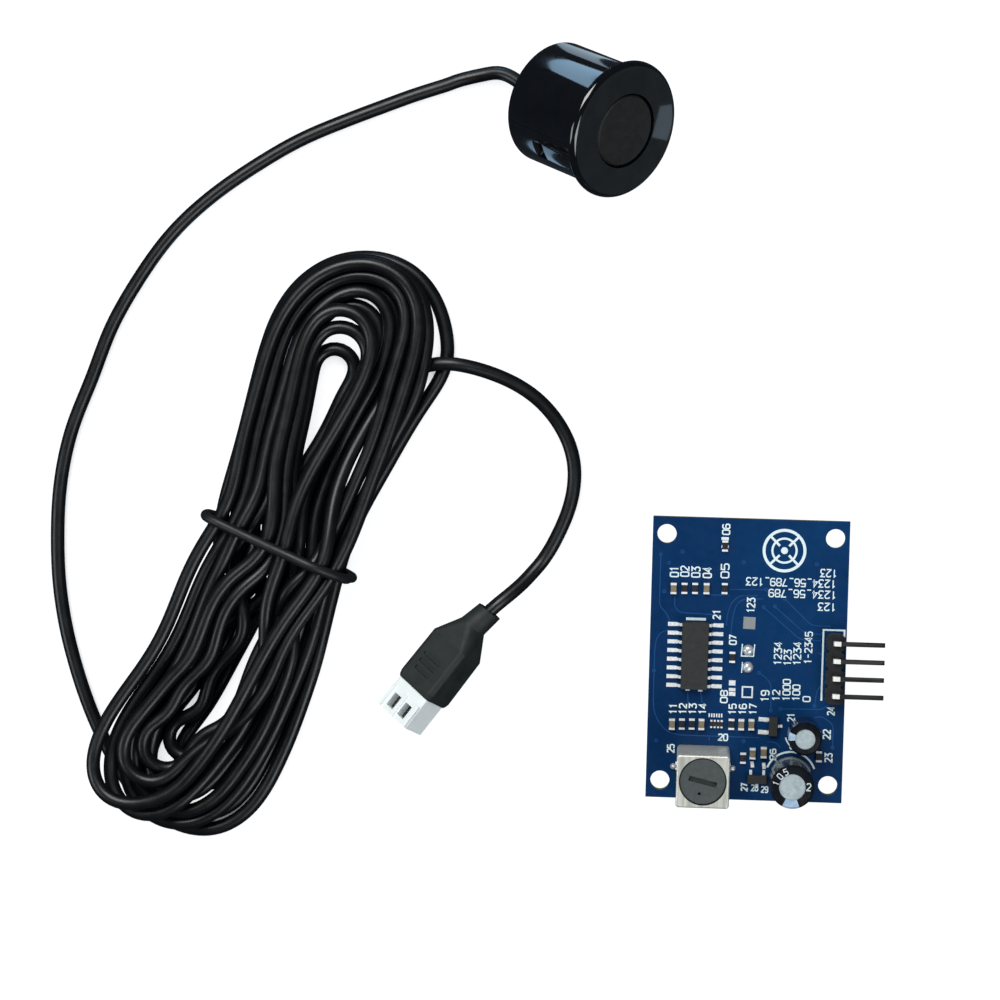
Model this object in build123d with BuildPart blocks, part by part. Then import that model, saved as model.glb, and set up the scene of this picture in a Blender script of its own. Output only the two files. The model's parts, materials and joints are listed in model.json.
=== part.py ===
"""Ultrasonic transducer kit: a driver board, a round probe, and the coiled cable between them.

Millimetres. Everything lies on z = 0 and the origin is the bottom centre of the set. The board is
at +x, -y, standing level on its cable socket; the tilted probe is at +y; the coil is mostly at -x;
the plug lies beside the board.
"""
from build123d import *
import math
import os

os.makedirs("parts", exist_ok=True)

# ------------------------------------------------------------------ driving dimensions
SHIFT_X, SHIFT_Y = -0.2915, 0.2442    # moves measured places so the set is centred on the origin

BOARD_W, BOARD_L, BOARD_T = 28.5, 41.0, 1.6
BOARD_Z = 7.0                         # underside of the board: height of the cable socket
HOLE_R, HOLE_DX, HOLE_DY = 1.4, 24.4, 36.0

# X and Y of anything on the board are measured from the board's centre.
HEADER_X, HEADER_Y, PITCH = 12.6, -0.75, 2.54
PIN_W = 0.64                          # square pins of the header and the socket
SOCKET_X, SOCKET_Y, SOCKET_PITCH = 0.06, 0.17, 2.5
CAN_X, CAN_Y, CAN_S, CAN_H, CAN_WALL = -6.0, -16.5, 7.6, 11.0, 0.22
CAN_PIN_R, CAN_PIN_OFFSET, CAN_LUG_OFFSET = 0.3, 2.25, 0.6

# name, x, y, radius, height, half the lead spacing, lead radius, bung radius short of the sleeve's
ELECTROLYTICS = [
    ("big", 6.75, -16.85, 3.15, 11.0, 1.25, 0.25, 0.66),
    ("small", 8.5, -10.45, 2.4, 7.0, 1.0, 0.22, 0.62),
]

CABLE_R = 1.017
BORE_R = CABLE_R + 0.05               # bore round the cable in the plug and the strain relief
GAP = 0.3                             # the end cables stop this far from each flex point

FLANGE_R, FLANGE_T = 10.05, 1.3
BODY_R, BODY_L = 8.9, 14.2

PLUG_AXIS = (-0.59394, -0.80451, 0.0)
PLUG_ROLL = 33.0                      # degrees about the plug's axis
OVER_L, OVER_W, OVER_H = 15.6, 7.4, 5.85             # plug overmould
SHELL_W, SHELL_H, SHELL_L, SHELL_OUT = 6.3, 4.85, 9.0, 5.25   # plug housing, and its free length
SHELL_END = OVER_L + SHELL_OUT


# ------------------------------------------------------------------ helpers and frames
def shifted(x, y, z):
    """A measured place, moved into the centred frame."""
    return Vector(x + SHIFT_X, y + SHIFT_Y, z)


def at(plane, x, y, z):
    return plane.from_local_coords(Vector(x, y, z))


board = Plane(origin=shifted(42.29, -29.65, BOARD_Z))      # underside of the board
ground = board.offset(-BOARD_Z)
top = board.offset(BOARD_T)

# Probe frame: origin at the centre of the flange seat, z out through the face of the flange.
probe = Plane(origin=shifted(21.735, 46.386, 16.03), x_dir=(0.37557, 0.92679, 0.0),
              z_dir=(0.70328, -0.285, 0.65128))

# Plug frame: origin at the cable end of the moulding, z towards the open end, y out of the
# face with the windows.
roll_cos, roll_sin = math.cos(math.radians(PLUG_ROLL)), math.sin(math.radians(PLUG_ROLL))
window_normal = Vector(roll_sin * PLUG_AXIS[1], -roll_sin * PLUG_AXIS[0], roll_cos)
plug = Plane(origin=shifted(3.9, -23.8, 4.15), x_dir=window_normal.cross(Vector(*PLUG_AXIS)),
             z_dir=PLUG_AXIS)


def mounted(x, y, turn=0, base=top):
    """Level frame at a place on the board, turned about z by some degrees."""
    angle = math.radians(turn)
    return Plane(origin=at(base, x, y, 0), x_dir=(math.cos(angle), math.sin(angle), 0),
                 z_dir=(0, 0, 1))


def plug_side(height, side=1):
    """Plane on the window side (1) or the opposite side (-1) of the plug's axis.

    On side 1 its y runs against the plug's z, on side -1 along it.
    """
    return Plane(origin=at(plug, 0, side * height, 0), x_dir=plug.x_dir, z_dir=plug.y_dir * side)


def revolved(frame, points):
    """Add a turned piece to the current part from its half section (radius, height) in a frame."""
    with BuildSketch(Plane(origin=frame.origin, x_dir=frame.x_dir, z_dir=-frame.y_dir)) as half:
        with BuildLine():
            Polyline(*points, points[0])
        make_face()
    revolve(half.sketch, axis=Axis(frame.origin, frame.z_dir))


def save(builder, name):
    builder.part.label = name
    export_step(builder.part, f"parts/{name}.step")


# ------------------------------------------------------------------ places on the board
HOLES = [(x * HOLE_DX / 2, y * HOLE_DY / 2) for x in (-1, 1) for y in (-1, 1)]
HEADER_YS = [HEADER_Y + PITCH * (1.5 - i) for i in range(4)]
HEADER_PINS = [(HEADER_X, y) for y in HEADER_YS]
SOCKET_YS = [SOCKET_Y + SOCKET_PITCH / 2, SOCKET_Y - SOCKET_PITCH / 2]
SOCKET_PINS = [(SOCKET_X, y) for y in SOCKET_YS]
CAN_PINS = [(CAN_X + i * CAN_PIN_OFFSET, CAN_Y + j * CAN_PIN_OFFSET)
            for i, j in ((-1, -1), (0, -1), (1, -1), (-1, 1), (1, 1))]
CAN_LUGS = [(CAN_X + side * (CAN_S - CAN_WALL) / 2, CAN_Y + CAN_LUG_OFFSET) for side in (-1, 1)]
CAPACITOR_LEADS = [(x + side * half_gap, y, lead_r)
                   for _, x, y, _, _, half_gap, lead_r, _ in ELECTROLYTICS for side in (-1, 1)]

# ------------------------------------------------------------------ circuit board
with BuildPart() as circuit_board:
    with BuildSketch(board):
        Rectangle(BOARD_W, BOARD_L)
        with Locations(*HOLES):
            Circle(HOLE_R, mode=Mode.SUBTRACT)
        with Locations(*HEADER_PINS, *SOCKET_PINS):
            Circle(0.52, mode=Mode.SUBTRACT)
        with Locations(*CAN_PINS, *[(x, y) for x, y, _ in CAPACITOR_LEADS]):
            Circle(0.4, mode=Mode.SUBTRACT)
        with Locations(*CAN_LUGS):
            Rectangle(0.6, 1.4, mode=Mode.SUBTRACT)
    extrude(amount=BOARD_T)
save(circuit_board, "circuit_board")

# ------------------------------------------------------------------ pin header
PIN_HOLE = PIN_W + 0.06               # square hole round a pin
PIN_REACH = 7.05                      # pin tip from the row of holes, towards +x
PIN_TAIL = 1.5                        # pin below the board
BEND_Z, BEND_R = PITCH + 0.75, 0.52   # height of the outward arm, outer radius of the bend
INNER_BEND = 0.55                     # where the inner corner is cut off
header_base = top.offset(0.03)

with BuildPart() as header_body:
    with BuildSketch(header_base):
        for y in HEADER_YS:
            with Locations((HEADER_X, y)):
                Rectangle(PITCH, PITCH)
    extrude(amount=PITCH)
    with BuildSketch(header_base):    # notches between neighbouring cells
        for i in range(5):
            for side in (-1, 1):
                with Locations((HEADER_X + side * PITCH / 2, HEADER_Y + PITCH * (2 - i))):
                    Rectangle(0.62, 0.62, rotation=45)
    extrude(amount=PITCH, mode=Mode.SUBTRACT)
    with BuildSketch(header_base):
        with Locations(*HEADER_PINS):
            Rectangle(PIN_HOLE, PIN_HOLE)
    extrude(amount=PITCH, mode=Mode.SUBTRACT)
save(header_body, "header_body")

half_pin = PIN_W / 2
with BuildPart() as header_pins:
    for y in HEADER_YS:
        side_view = Plane(origin=at(top, HEADER_X, y, 0), x_dir=(1, 0, 0), z_dir=(0, -1, 0))
        bend_start = (BEND_R - half_pin, BEND_Z + half_pin)
        bend_end = (-half_pin, BEND_Z + half_pin - BEND_R)
        tail_corner = (-half_pin, -BOARD_T - PIN_TAIL + 0.3)
        with BuildSketch(side_view):
            with BuildLine():
                Polyline(
                    tail_corner,
                    (-half_pin / 2, -BOARD_T - PIN_TAIL), (half_pin / 2, -BOARD_T - PIN_TAIL),
                    (half_pin, -BOARD_T - PIN_TAIL + 0.3), (half_pin, BEND_Z - INNER_BEND),
                    (INNER_BEND, BEND_Z - half_pin), (PIN_REACH - 0.3, BEND_Z - half_pin),
                    (PIN_REACH, BEND_Z - half_pin / 2), (PIN_REACH, BEND_Z + half_pin / 2),
                    (PIN_REACH - 0.3, BEND_Z + half_pin), bend_start)
                RadiusArc(bend_start, bend_end, -BEND_R)
                Line(bend_end, tail_corner)
            make_face()
        extrude(amount=half_pin, both=True)
save(header_pins, "header_pins")

# ------------------------------------------------------------------ controller chip
CHIP_X, CHIP_Y = -7.65, 0.45
CHIP_W, CHIP_L, CHIP_H, CHIP_PITCH = 3.9, 9.9, 1.4, 1.27
CHIP_LIFT = 0.15
CHIP_SECTIONS = [                     # height, taken off the width and length
    (CHIP_LIFT, 0.16), (CHIP_LIFT + CHIP_H / 2, 0), (CHIP_LIFT + CHIP_H, 0.2)]
chip = mounted(CHIP_X, CHIP_Y)

with BuildPart() as chip_body:
    for pair in zip(CHIP_SECTIONS, CHIP_SECTIONS[1:]):
        for height, less in pair:
            with BuildSketch(chip.offset(height)):
                Rectangle(CHIP_W - less, CHIP_L - less)
        loft()
    with BuildSketch(chip.offset(CHIP_LIFT + CHIP_H)):     # round dimple in one corner
        with Locations((CHIP_W / 2 - 0.75, CHIP_L / 2 - 0.95)):
            Circle(0.32)
    extrude(amount=-0.08, mode=Mode.SUBTRACT)
save(chip_body, "controller_chip_body")

# Gull-wing leads leave the moulding near half height, step down and end in a flat foot.
LEAD_START, LEAD_END = CHIP_W / 2 + 0.01, CHIP_W / 2 + 1.08
LEAD_RISE, LEAD_FOOT, LEAD_T, LEAD_W = 0.7, 0.02, 0.18, 0.42
with BuildPart() as chip_leads:
    for i in range(8):
        for side in (-1, 1):
            side_view = Plane(origin=at(chip, 0, CHIP_PITCH * (3.5 - i), 0),
                              x_dir=(side, 0, 0), z_dir=(0, -side, 0))
            with BuildSketch(side_view):
                with BuildLine():
                    Polyline(
                        (LEAD_START, LEAD_RISE), (LEAD_START, LEAD_RISE + LEAD_T),
                        (LEAD_START + 0.32, LEAD_RISE + LEAD_T),
                        (LEAD_START + 0.52, LEAD_FOOT + LEAD_T), (LEAD_END, LEAD_FOOT + LEAD_T),
                        (LEAD_END, LEAD_FOOT), (LEAD_START + 0.38, LEAD_FOOT),
                        (LEAD_START + 0.2, LEAD_RISE), (LEAD_START, LEAD_RISE))
                make_face()
            extrude(amount=LEAD_W / 2, both=True)
save(chip_leads, "controller_chip_leads")

# ------------------------------------------------------------------ transistors (three leads)
TRANSISTORS = [(4.03, -9.5, 90), (1.9, -17.35, 0)]         # x, y, turn in degrees
TRANSISTOR_SECTIONS = [(0.1, 2.8, 1.2), (0.55, 2.9, 1.3), (1.0, 2.75, 1.15)]  # z, width, length

with BuildPart() as transistor_bodies:
    for x, y, turn in TRANSISTORS:
        for pair in zip(TRANSISTOR_SECTIONS, TRANSISTOR_SECTIONS[1:]):
            for height, width, length in pair:
                with BuildSketch(mounted(x, y, turn).offset(height)):
                    Rectangle(width, length)
            loft()
save(transistor_bodies, "transistor_bodies")

with BuildPart() as transistor_leads:
    for x, y, turn in TRANSISTORS:
        base = mounted(x, y, turn)
        for along, side in ((-0.95, 1), (0.95, 1), (0.0, -1)):
            outward = base.y_dir * side
            side_view = Plane(origin=at(base, along, 0, 0), x_dir=outward,
                              z_dir=outward.cross(Vector(0, 0, 1)))
            with BuildSketch(side_view):
                with BuildLine():
                    Polyline((0.66, 0.46), (0.66, 0.58), (0.86, 0.58), (0.98, 0.14), (1.32, 0.14),
                             (1.32, 0.02), (0.88, 0.02), (0.78, 0.46), (0.66, 0.46))
                make_face()
            extrude(amount=0.2, both=True)
save(transistor_leads, "transistor_leads")

# ------------------------------------------------------------------ chip resistors and capacitors
RESISTORS = [(-9.44, 10.16), (-7.9, 10.2), (-3.62, 10.31), (-3.74, 16.5), (-2.22, 0.34),
             (-9.24, -9.64), (-7.8, -9.6), (-2.05, -9.45), (-0.21, -14.34), (10.77, -13.75)]
CAPS = [(-11.01, 10.12), (-6.24, 10.24), (-10.67, -9.68), (-6.4, -9.57), (-0.63, -9.42),
        (0.84, -9.38), (1.15, -13.6), (2.75, -13.4)]
NET_X, NET_Y = -4.22, -9.47           # wider chip with four pairs of end caps
CHIP_PART_W, CHIP_PART_L, END_CAP = 0.8, 1.6, 0.3
CERAMIC_L = CHIP_PART_L - 2 * END_CAP - 0.02

with BuildPart() as chip_resistors:
    with BuildSketch(top.offset(0.03)):
        with Locations(*RESISTORS):
            Rectangle(CHIP_PART_W, CERAMIC_L)
        with Locations((NET_X, NET_Y)):
            Rectangle(2.0, 0.66)
    extrude(amount=0.45)
save(chip_resistors, "chip_resistors")

with BuildPart() as chip_capacitors:
    with BuildSketch(top.offset(0.03)):
        with Locations(*CAPS):
            Rectangle(CHIP_PART_W, CERAMIC_L)
    extrude(amount=0.78)
save(chip_capacitors, "chip_capacitors")

with BuildPart() as chip_end_caps:
    for group, height in ((RESISTORS, 0.48), (CAPS, 0.82)):
        with BuildSketch(top.offset(0.01)):
            for x, y in group:
                with Locations((x, y + (CHIP_PART_L - END_CAP) / 2),
                               (x, y - (CHIP_PART_L - END_CAP) / 2)):
                    Rectangle(CHIP_PART_W + 0.04, END_CAP)
        extrude(amount=height)
    with BuildSketch(top.offset(0.01)):
        for i in range(4):
            for side in (-1, 1):
                with Locations((NET_X + 0.5 * (i - 1.5), NET_Y + side * 0.46)):
                    Rectangle(0.3, 0.24)
    extrude(amount=0.46)
save(chip_end_caps, "chip_end_caps")

# ------------------------------------------------------------------ cable socket under the board
SOCKET_W, SOCKET_L = 5.9, 7.7
SOCKET_ROOF = 1.2                     # thickness above the cavity
SOCKET_PIN_LOW = 1.3                  # lower end of the pins above the ground

with BuildPart() as socket_shell:
    with BuildSketch(board.offset(-0.03)):
        with Locations((SOCKET_X, SOCKET_Y)):
            Rectangle(SOCKET_W, SOCKET_L)
    extrude(amount=-(BOARD_Z - 0.03))
    fillet(socket_shell.edges().filter_by(Axis.Z), 0.25)
    with BuildSketch(ground):         # cavity, sized to take the plug housing
        with Locations((SOCKET_X, SOCKET_Y)):
            Rectangle(SHELL_H + 0.1, SHELL_W + 0.1)
    extrude(amount=BOARD_Z - SOCKET_ROOF, mode=Mode.SUBTRACT)
    with BuildSketch(ground):         # slots through the +x wall
        with Locations(*[(SOCKET_X + SOCKET_W / 2, y) for y in SOCKET_YS]):
            Rectangle(2.0, 1.1)
    extrude(amount=3.2, mode=Mode.SUBTRACT)
    with BuildSketch(board.offset(-1.3)):
        with Locations(*SOCKET_PINS):
            Rectangle(PIN_HOLE, PIN_HOLE)
    extrude(amount=1.4, mode=Mode.SUBTRACT)
save(socket_shell, "socket_shell")

with BuildPart() as socket_pins:
    with BuildSketch(ground.offset(SOCKET_PIN_LOW)):
        with Locations(*SOCKET_PINS):
            Rectangle(PIN_W, PIN_W)
    extrude(amount=BOARD_Z + BOARD_T + 0.55 - SOCKET_PIN_LOW)
    chamfer(socket_pins.edges().group_by(Axis.Z)[0], 0.15)
save(socket_pins, "socket_pins")

# ------------------------------------------------------------------ tuned transformer
CAN_LIFT = 0.05
CAN_INNER = CAN_S - 2 * CAN_WALL
BASE_LIFT, BASE_T = 0.1, 1.5
CORE_R, CORE_LOW, CORE_TOP = 3.3, 7.6, 10.75
POST_OFFSET, POST_W = 3.1, 0.7
can_seat = mounted(CAN_X, CAN_Y)

with BuildPart() as transformer_can:
    with BuildSketch(can_seat.offset(CAN_LIFT)):
        Rectangle(CAN_S, CAN_S)
    extrude(amount=CAN_H - CAN_LIFT)
    fillet(transformer_can.edges().filter_by(Axis.Z), 0.45)
    fillet(transformer_can.edges().group_by(Axis.Z)[-1], 0.3)
    with BuildSketch(can_seat.offset(CAN_LIFT)):
        RectangleRounded(CAN_INNER, CAN_INNER, 0.3)
    extrude(amount=CAN_H - CAN_LIFT - CAN_WALL, mode=Mode.SUBTRACT)
    with BuildSketch(can_seat.offset(CAN_H)):
        Circle(CORE_R + 0.12)
    extrude(amount=-1.0, mode=Mode.SUBTRACT)
    with BuildSketch(top.offset(0.6)):     # lugs down through the board
        with Locations(*CAN_LUGS):
            Rectangle(CAN_WALL, 1.1)
    extrude(amount=-(BOARD_T + 1.5))
save(transformer_can, "transformer_can")

with BuildPart() as transformer_base:
    with BuildSketch(can_seat.offset(BASE_LIFT)):
        RectangleRounded(CAN_INNER - 0.1, CAN_INNER - 0.1, 0.3)
    extrude(amount=BASE_T)
    with BuildSketch(top.offset(BASE_LIFT)):
        with Locations(*CAN_PINS):
            Circle(CAN_PIN_R + 0.03)
    extrude(amount=BASE_T, mode=Mode.SUBTRACT)
    with BuildSketch(can_seat.offset(BASE_LIFT + BASE_T)):
        Circle(0.8)
    extrude(amount=-1.0, mode=Mode.SUBTRACT)
save(transformer_base, "transformer_base")

with BuildPart() as transformer_pins:
    with BuildSketch(board.offset(-1.5)):
        with Locations(*CAN_PINS):
            Circle(CAN_PIN_R)
    extrude(amount=1.5 + BOARD_T + 1.9)
save(transformer_pins, "transformer_pins")

with BuildPart() as drum_core:
    revolved(can_seat, [(0, 0.65), (0.75, 0.65), (0.75, 1.7), (1.75, 1.7), (1.75, 2.3), (1.1, 2.3),
                        (1.1, 5.9), (2.6, 5.9), (2.6, 6.5), (0, 6.5)])
save(drum_core, "drum_core")

with BuildPart() as winding:
    revolved(can_seat, [(1.13, 2.34), (1.7, 2.34), (2.3, 2.9), (2.45, 3.6), (2.45, 5.4),
                        (2.3, 5.86), (1.13, 5.86)])
save(winding, "transformer_winding")

with BuildPart() as threaded_sleeve:
    with BuildSketch(can_seat.offset(6.9)):
        RectangleRounded(CAN_INNER - 0.06, CAN_INNER - 0.06, 0.27)
        Circle(CORE_R + 0.04, mode=Mode.SUBTRACT)
    extrude(amount=2.9)
    with BuildSketch(can_seat.offset(1.68)):     # corner posts
        with Locations(*[(i * POST_OFFSET, j * POST_OFFSET) for i in (-1, 1) for j in (-1, 1)]):
            Rectangle(POST_W, POST_W)
    extrude(amount=5.25)
save(threaded_sleeve, "threaded_sleeve")

with BuildPart() as tuning_core:
    with BuildSketch(can_seat.offset(CORE_LOW)):
        Circle(CORE_R)
    extrude(amount=CORE_TOP - CORE_LOW)
    chamfer(tuning_core.edges().group_by(Axis.Z)[-1], 0.12)
    with BuildSketch(can_seat.offset(CORE_LOW)):
        Circle(2.75)
    extrude(amount=1.7, mode=Mode.SUBTRACT)
    with BuildSketch(can_seat.offset(CORE_TOP)):     # slot and a small round dimple
        Rectangle(4.1, 0.75, rotation=-13)
        with Locations((-0.45, -1.75)):
            Circle(0.22)
    extrude(amount=-0.8, mode=Mode.SUBTRACT)
save(tuning_core, "tuning_core")


# ------------------------------------------------------------------ electrolytic capacitors
def electrolytic(name, x, y, radius, height, half_gap, lead_r, bung_inset):
    seat = mounted(x, y)
    leads = [(-half_gap, 0), (half_gap, 0)]
    outer, inner = radius - 0.14, radius - 0.36      # faces of the can wall
    groove, groove_z = 0.22, 2.15
    with BuildPart() as can:
        revolved(seat, [
            (0, height - 0.15), (radius - 0.75, height - 0.15), (radius - 0.3, height - 0.3),
            (outer, height - 0.62), (outer, 2.5), (outer - groove, groove_z), (outer, 1.8),
            (outer, 0.55), (radius - 0.45, 0.35), (radius - 0.8, 0.35), (radius - 0.8, 0.5),
            (radius - 0.52, 0.6), (inner, 0.75), (inner, 1.75), (inner - groove, groove_z),
            (inner, 2.55), (inner, height - 0.75), (radius - 0.9, height - 0.4),
            (0, height - 0.4)])
    save(can, f"{name}_capacitor_can")
    with BuildPart() as sleeve:
        revolved(seat, [
            (radius, 0.3), (radius, height - 0.4), (radius - 0.28, height - 0.06),
            (radius * 0.6, height), (radius * 0.6, height - 0.12), (radius - 0.68, height - 0.12),
            (radius - 0.24, height - 0.27), (radius - 0.11, height - 0.6), (radius - 0.11, 0.5),
            (radius - 0.4, 0.32), (radius - 0.4, 0.2), (radius - 0.1, 0.2)])
    save(sleeve, f"{name}_capacitor_sleeve")
    with BuildPart() as bung:
        with BuildSketch(seat.offset(0.62)):
            Circle(radius - bung_inset)
        extrude(amount=1.25)
        with BuildSketch(seat.offset(0.62)):
            with Locations(*leads):
                Circle(lead_r + 0.03)
        extrude(amount=1.25, mode=Mode.SUBTRACT)
    save(bung, f"{name}_capacitor_bung")
    with BuildPart() as foil_roll:
        with BuildSketch(seat.offset(2.65)):
            Circle(radius - 0.75)
        extrude(amount=height - 3.6)
    save(foil_roll, f"{name}_capacitor_roll")
    with BuildPart() as legs:
        with BuildSketch(seat.offset(-BOARD_T - 1.4)):
            with Locations(*leads):
                Circle(lead_r)
        extrude(amount=1.4 + BOARD_T + 2.6)
    save(legs, f"{name}_capacitor_leads")


for row in ELECTROLYTICS:
    electrolytic(*row)

# ------------------------------------------------------------------ solder
PIN_SOLDER_R = 0.47                   # inner radius round a square pin
SOLDER_CLEARANCE = 0.04               # between a round lead and its solder
with BuildPart() as solder_joints:
    for x, y, inner in ([(x, y, PIN_SOLDER_R) for x, y in HEADER_PINS]
                        + [(x, y, CAN_PIN_R + SOLDER_CLEARANCE) for x, y in CAN_PINS]
                        + [(x, y, lead_r + SOLDER_CLEARANCE) for x, y, lead_r in CAPACITOR_LEADS]):
        revolved(mounted(x, y, base=board),
                 [(inner, -0.02), (0.88, -0.02), (0.6, -0.35), (inner + 0.08, -1.0), (inner, -1.0)])
    for x, y in SOCKET_PINS:
        revolved(mounted(x, y), [(PIN_SOLDER_R, 0.02), (0.8, 0.02), (0.62, 0.3), (0.55, 0.5),
                                 (PIN_SOLDER_R, 0.5)])
    for side in (-1, 1):              # blobs beside the transformer can
        revolved(mounted(CAN_X + side * (CAN_S / 2 + 0.5), CAN_Y + CAN_LUG_OFFSET),
                 [(0, 0.02), (0.46, 0.02), (0.4, 0.35), (0.2, 0.6), (0, 0.66)])
save(solder_joints, "solder_joints")

# ------------------------------------------------------------------ probe
SHOULDER_Z = -0.3                     # end of the narrow front bore
REAR_BORE_Z = -8.1                    # where the wide rear bore starts
CLIP_TURN = 146.5                     # where the two clip pockets sit round the body
WIRE_X = 2.2                          # inner leads, either side of the axis

with BuildPart() as probe_housing:
    with BuildSketch(probe.offset(-BODY_L)):
        Circle(BODY_R)
    extrude(amount=BODY_L + 0.5)
    with BuildSketch(probe):
        Circle(FLANGE_R)
    extrude(amount=FLANGE_T)
    for radius, height, rounding in ((FLANGE_R, FLANGE_T, 0.95), (FLANGE_R, 0, 0.3),
                                     (BODY_R, -BODY_L, 0.5)):
        fillet(probe_housing.edges().filter_by(GeomType.CIRCLE).filter_by(
            lambda e: abs(e.radius - radius) < 1e-3
            and abs(probe.to_local_coords(e.arc_center).Z - height) < 1e-3), rounding)
    with BuildSketch(probe.offset(FLANGE_T)):
        Circle(5.48)
    extrude(amount=SHOULDER_Z - FLANGE_T, mode=Mode.SUBTRACT)
    with BuildSketch(probe.offset(SHOULDER_Z)):
        Circle(6.2)
    extrude(amount=REAR_BORE_Z - SHOULDER_Z, mode=Mode.SUBTRACT)
    with BuildSketch(probe.offset(-BODY_L)):
        Circle(7.6)
    extrude(amount=BODY_L + REAR_BORE_Z, mode=Mode.SUBTRACT)
    for turn in (CLIP_TURN, CLIP_TURN + 180):
        across, up = math.cos(math.radians(turn)), math.sin(math.radians(turn))
        centre = at(probe, BODY_R * across, BODY_R * up, -BODY_L + 6.2)
        outward = at(probe, across, up, 0) - probe.origin
        with BuildSketch(Plane(origin=centre, x_dir=probe.z_dir, z_dir=outward)):
            RectangleRounded(2.2, 3.0, 0.3)
        extrude(amount=-1.0, mode=Mode.SUBTRACT)
save(probe_housing, "probe_housing")

with BuildPart() as isolation_ring:
    revolved(probe, [(5.26, -0.38), (6.12, -0.38), (6.12, -8.18), (7.4, -8.18), (7.4, -9.2),
                     (5.26, -9.2)])
save(isolation_ring, "isolation_ring")

with BuildPart() as transducer_cup:
    revolved(probe, [(0, 1.25), (4.95, 1.25), (5.2, 1.0), (5.2, -8.8), (4.55, -8.8), (4.55, 0.25),
                     (4.35, 0.45), (0, 0.45)])
save(transducer_cup, "transducer_cup")

with BuildPart() as piezo_disc:
    with BuildSketch(probe.offset(0.43)):
        Circle(3.3)
    extrude(amount=-0.35)
save(piezo_disc, "piezo_disc")

with BuildPart() as damping_pad:
    with BuildSketch(probe.offset(-0.85)):
        Circle(4.4)
        with Locations((WIRE_X, 0), (-WIRE_X, 0)):
            Circle(0.45, mode=Mode.SUBTRACT)
    extrude(amount=-2.6)
save(damping_pad, "damping_pad")

for name, side in (("signal_lead", 1), ("ground_lead", -1)):
    with BuildPart() as inner_lead:
        with BuildLine():
            straight = Line(at(probe, WIRE_X * side, 0, 0.03), at(probe, WIRE_X * side, 0, -4.0))
            Spline(at(probe, WIRE_X * side, 0, -4.0), at(probe, 0.5 * side, 0, -9.9),
                   tangents=(-probe.z_dir, -probe.z_dir))
        with BuildSketch(Plane(origin=straight @ 0, z_dir=straight % 0)):
            Circle(0.3)
        sweep()
    save(inner_lead, name)

with BuildPart() as rear_potting:
    with BuildSketch(probe.offset(-BODY_L + 0.3)):
        Circle(7.55)
        Circle(CABLE_R + 0.03, mode=Mode.SUBTRACT)
    extrude(amount=BODY_L - 0.3 - 9.75)
save(rear_potting, "rear_potting")

with BuildPart() as strain_relief:
    revolved(probe, [(BORE_R, -BODY_L + 0.22), (3.0, -BODY_L + 0.22), (3.0, -BODY_L - 0.9),
                     (2.3, -BODY_L - 1.4), (1.6, -BODY_L - 3.6), (BORE_R, -BODY_L - 3.6)])
save(strain_relief, "strain_relief")

# ------------------------------------------------------------------ cable ends
NECK_L = 3.3                          # soft neck at the cable end of the plug
NECK_BEND = (0.503, -0.327)           # how far the neck leans off the axis at its cable end

# Centre lines between the straight bore and the flex point, measured (x, y, z).
PROBE_CABLE = [(7.6, 52.5, 3.35), (5.6, 53.9, 2.35), (3.4, 54.62, 1.6), (1.4, 54.36, 1.2),
               (-0.77, 53.85, 1.04), (-2.9, 53.2, 1.03)]
PLUG_CABLE = [(7.0, -21.85, 3.55), (9.0, -20.05, 2.4), (10.75, -18.1, 1.4), (11.85, -16.72, 1.05)]


def neck(distance):
    """Centre of the plug's cable bore, at a distance from the cable end of the moulding."""
    lean = 1 - distance / NECK_L
    return NECK_BEND[0] * lean, NECK_BEND[1] * lean


def cable_end(name, bore_start, bore_end, stations, flex_point, direction):
    """Cable straight through a bore, then curving to stop GAP short of the flex point.

    direction points from the flex point back along this cable.
    """
    direction = Vector(*direction).normalized()
    with BuildPart() as cable:
        with BuildLine():
            bore = Line(bore_start, bore_end)
            Spline(bore_end, *[shifted(*point) for point in stations],
                   shifted(*flex_point) + direction * GAP,
                   tangents=((bore_end - bore_start).normalized(), -direction))
        with BuildSketch(Plane(origin=bore @ 0, z_dir=bore % 0)):
            Circle(CABLE_R)
        sweep()
    save(cable, name)


cable_end("probe_cable", at(probe, 0, 0, -10.1), at(probe, 0, 0, -BODY_L - 3.7), PROBE_CABLE,
          flex_point=(-5.082, 52.392, CABLE_R), direction=(0.955, 0.297, 0.0))
cable_end("plug_cable", at(plug, *neck(3.9), 3.9), at(plug, *neck(-0.6), -0.6), PLUG_CABLE,
          flex_point=(12.592, -15.574, CABLE_R), direction=(-0.55, -0.83, 0.0))

# ------------------------------------------------------------------ plug
OVER_SECTIONS = [                     # distance along z, width, height, corner radius
    (NECK_L, 4.2, 4.2, 2.05),
    (7.0, OVER_W - 0.2, OVER_H - 0.2, 0.9),
    (OVER_L - 0.9, OVER_W, OVER_H, 0.9),
    (OVER_L - 0.3, OVER_W - 0.3, OVER_H - 0.25, 0.8),
    (OVER_L, OVER_W - 0.68, OVER_H - 0.6, 0.6),
]
GRIP_SLOTS = [(10.5, 3.8), (11.7, 3.5), (12.9, 3.2)]       # distance along z, length
CAVITY_START = 3.9                    # inner cavity for the cores
SHELL_START = SHELL_END - SHELL_L
TERMINAL_START, TERMINAL_L = SHELL_END - 7.3, 6.8
CONTACT_XS = (-SOCKET_PITCH / 2, SOCKET_PITCH / 2)
CONTACTS = [(x, 0) for x in CONTACT_XS]

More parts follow.
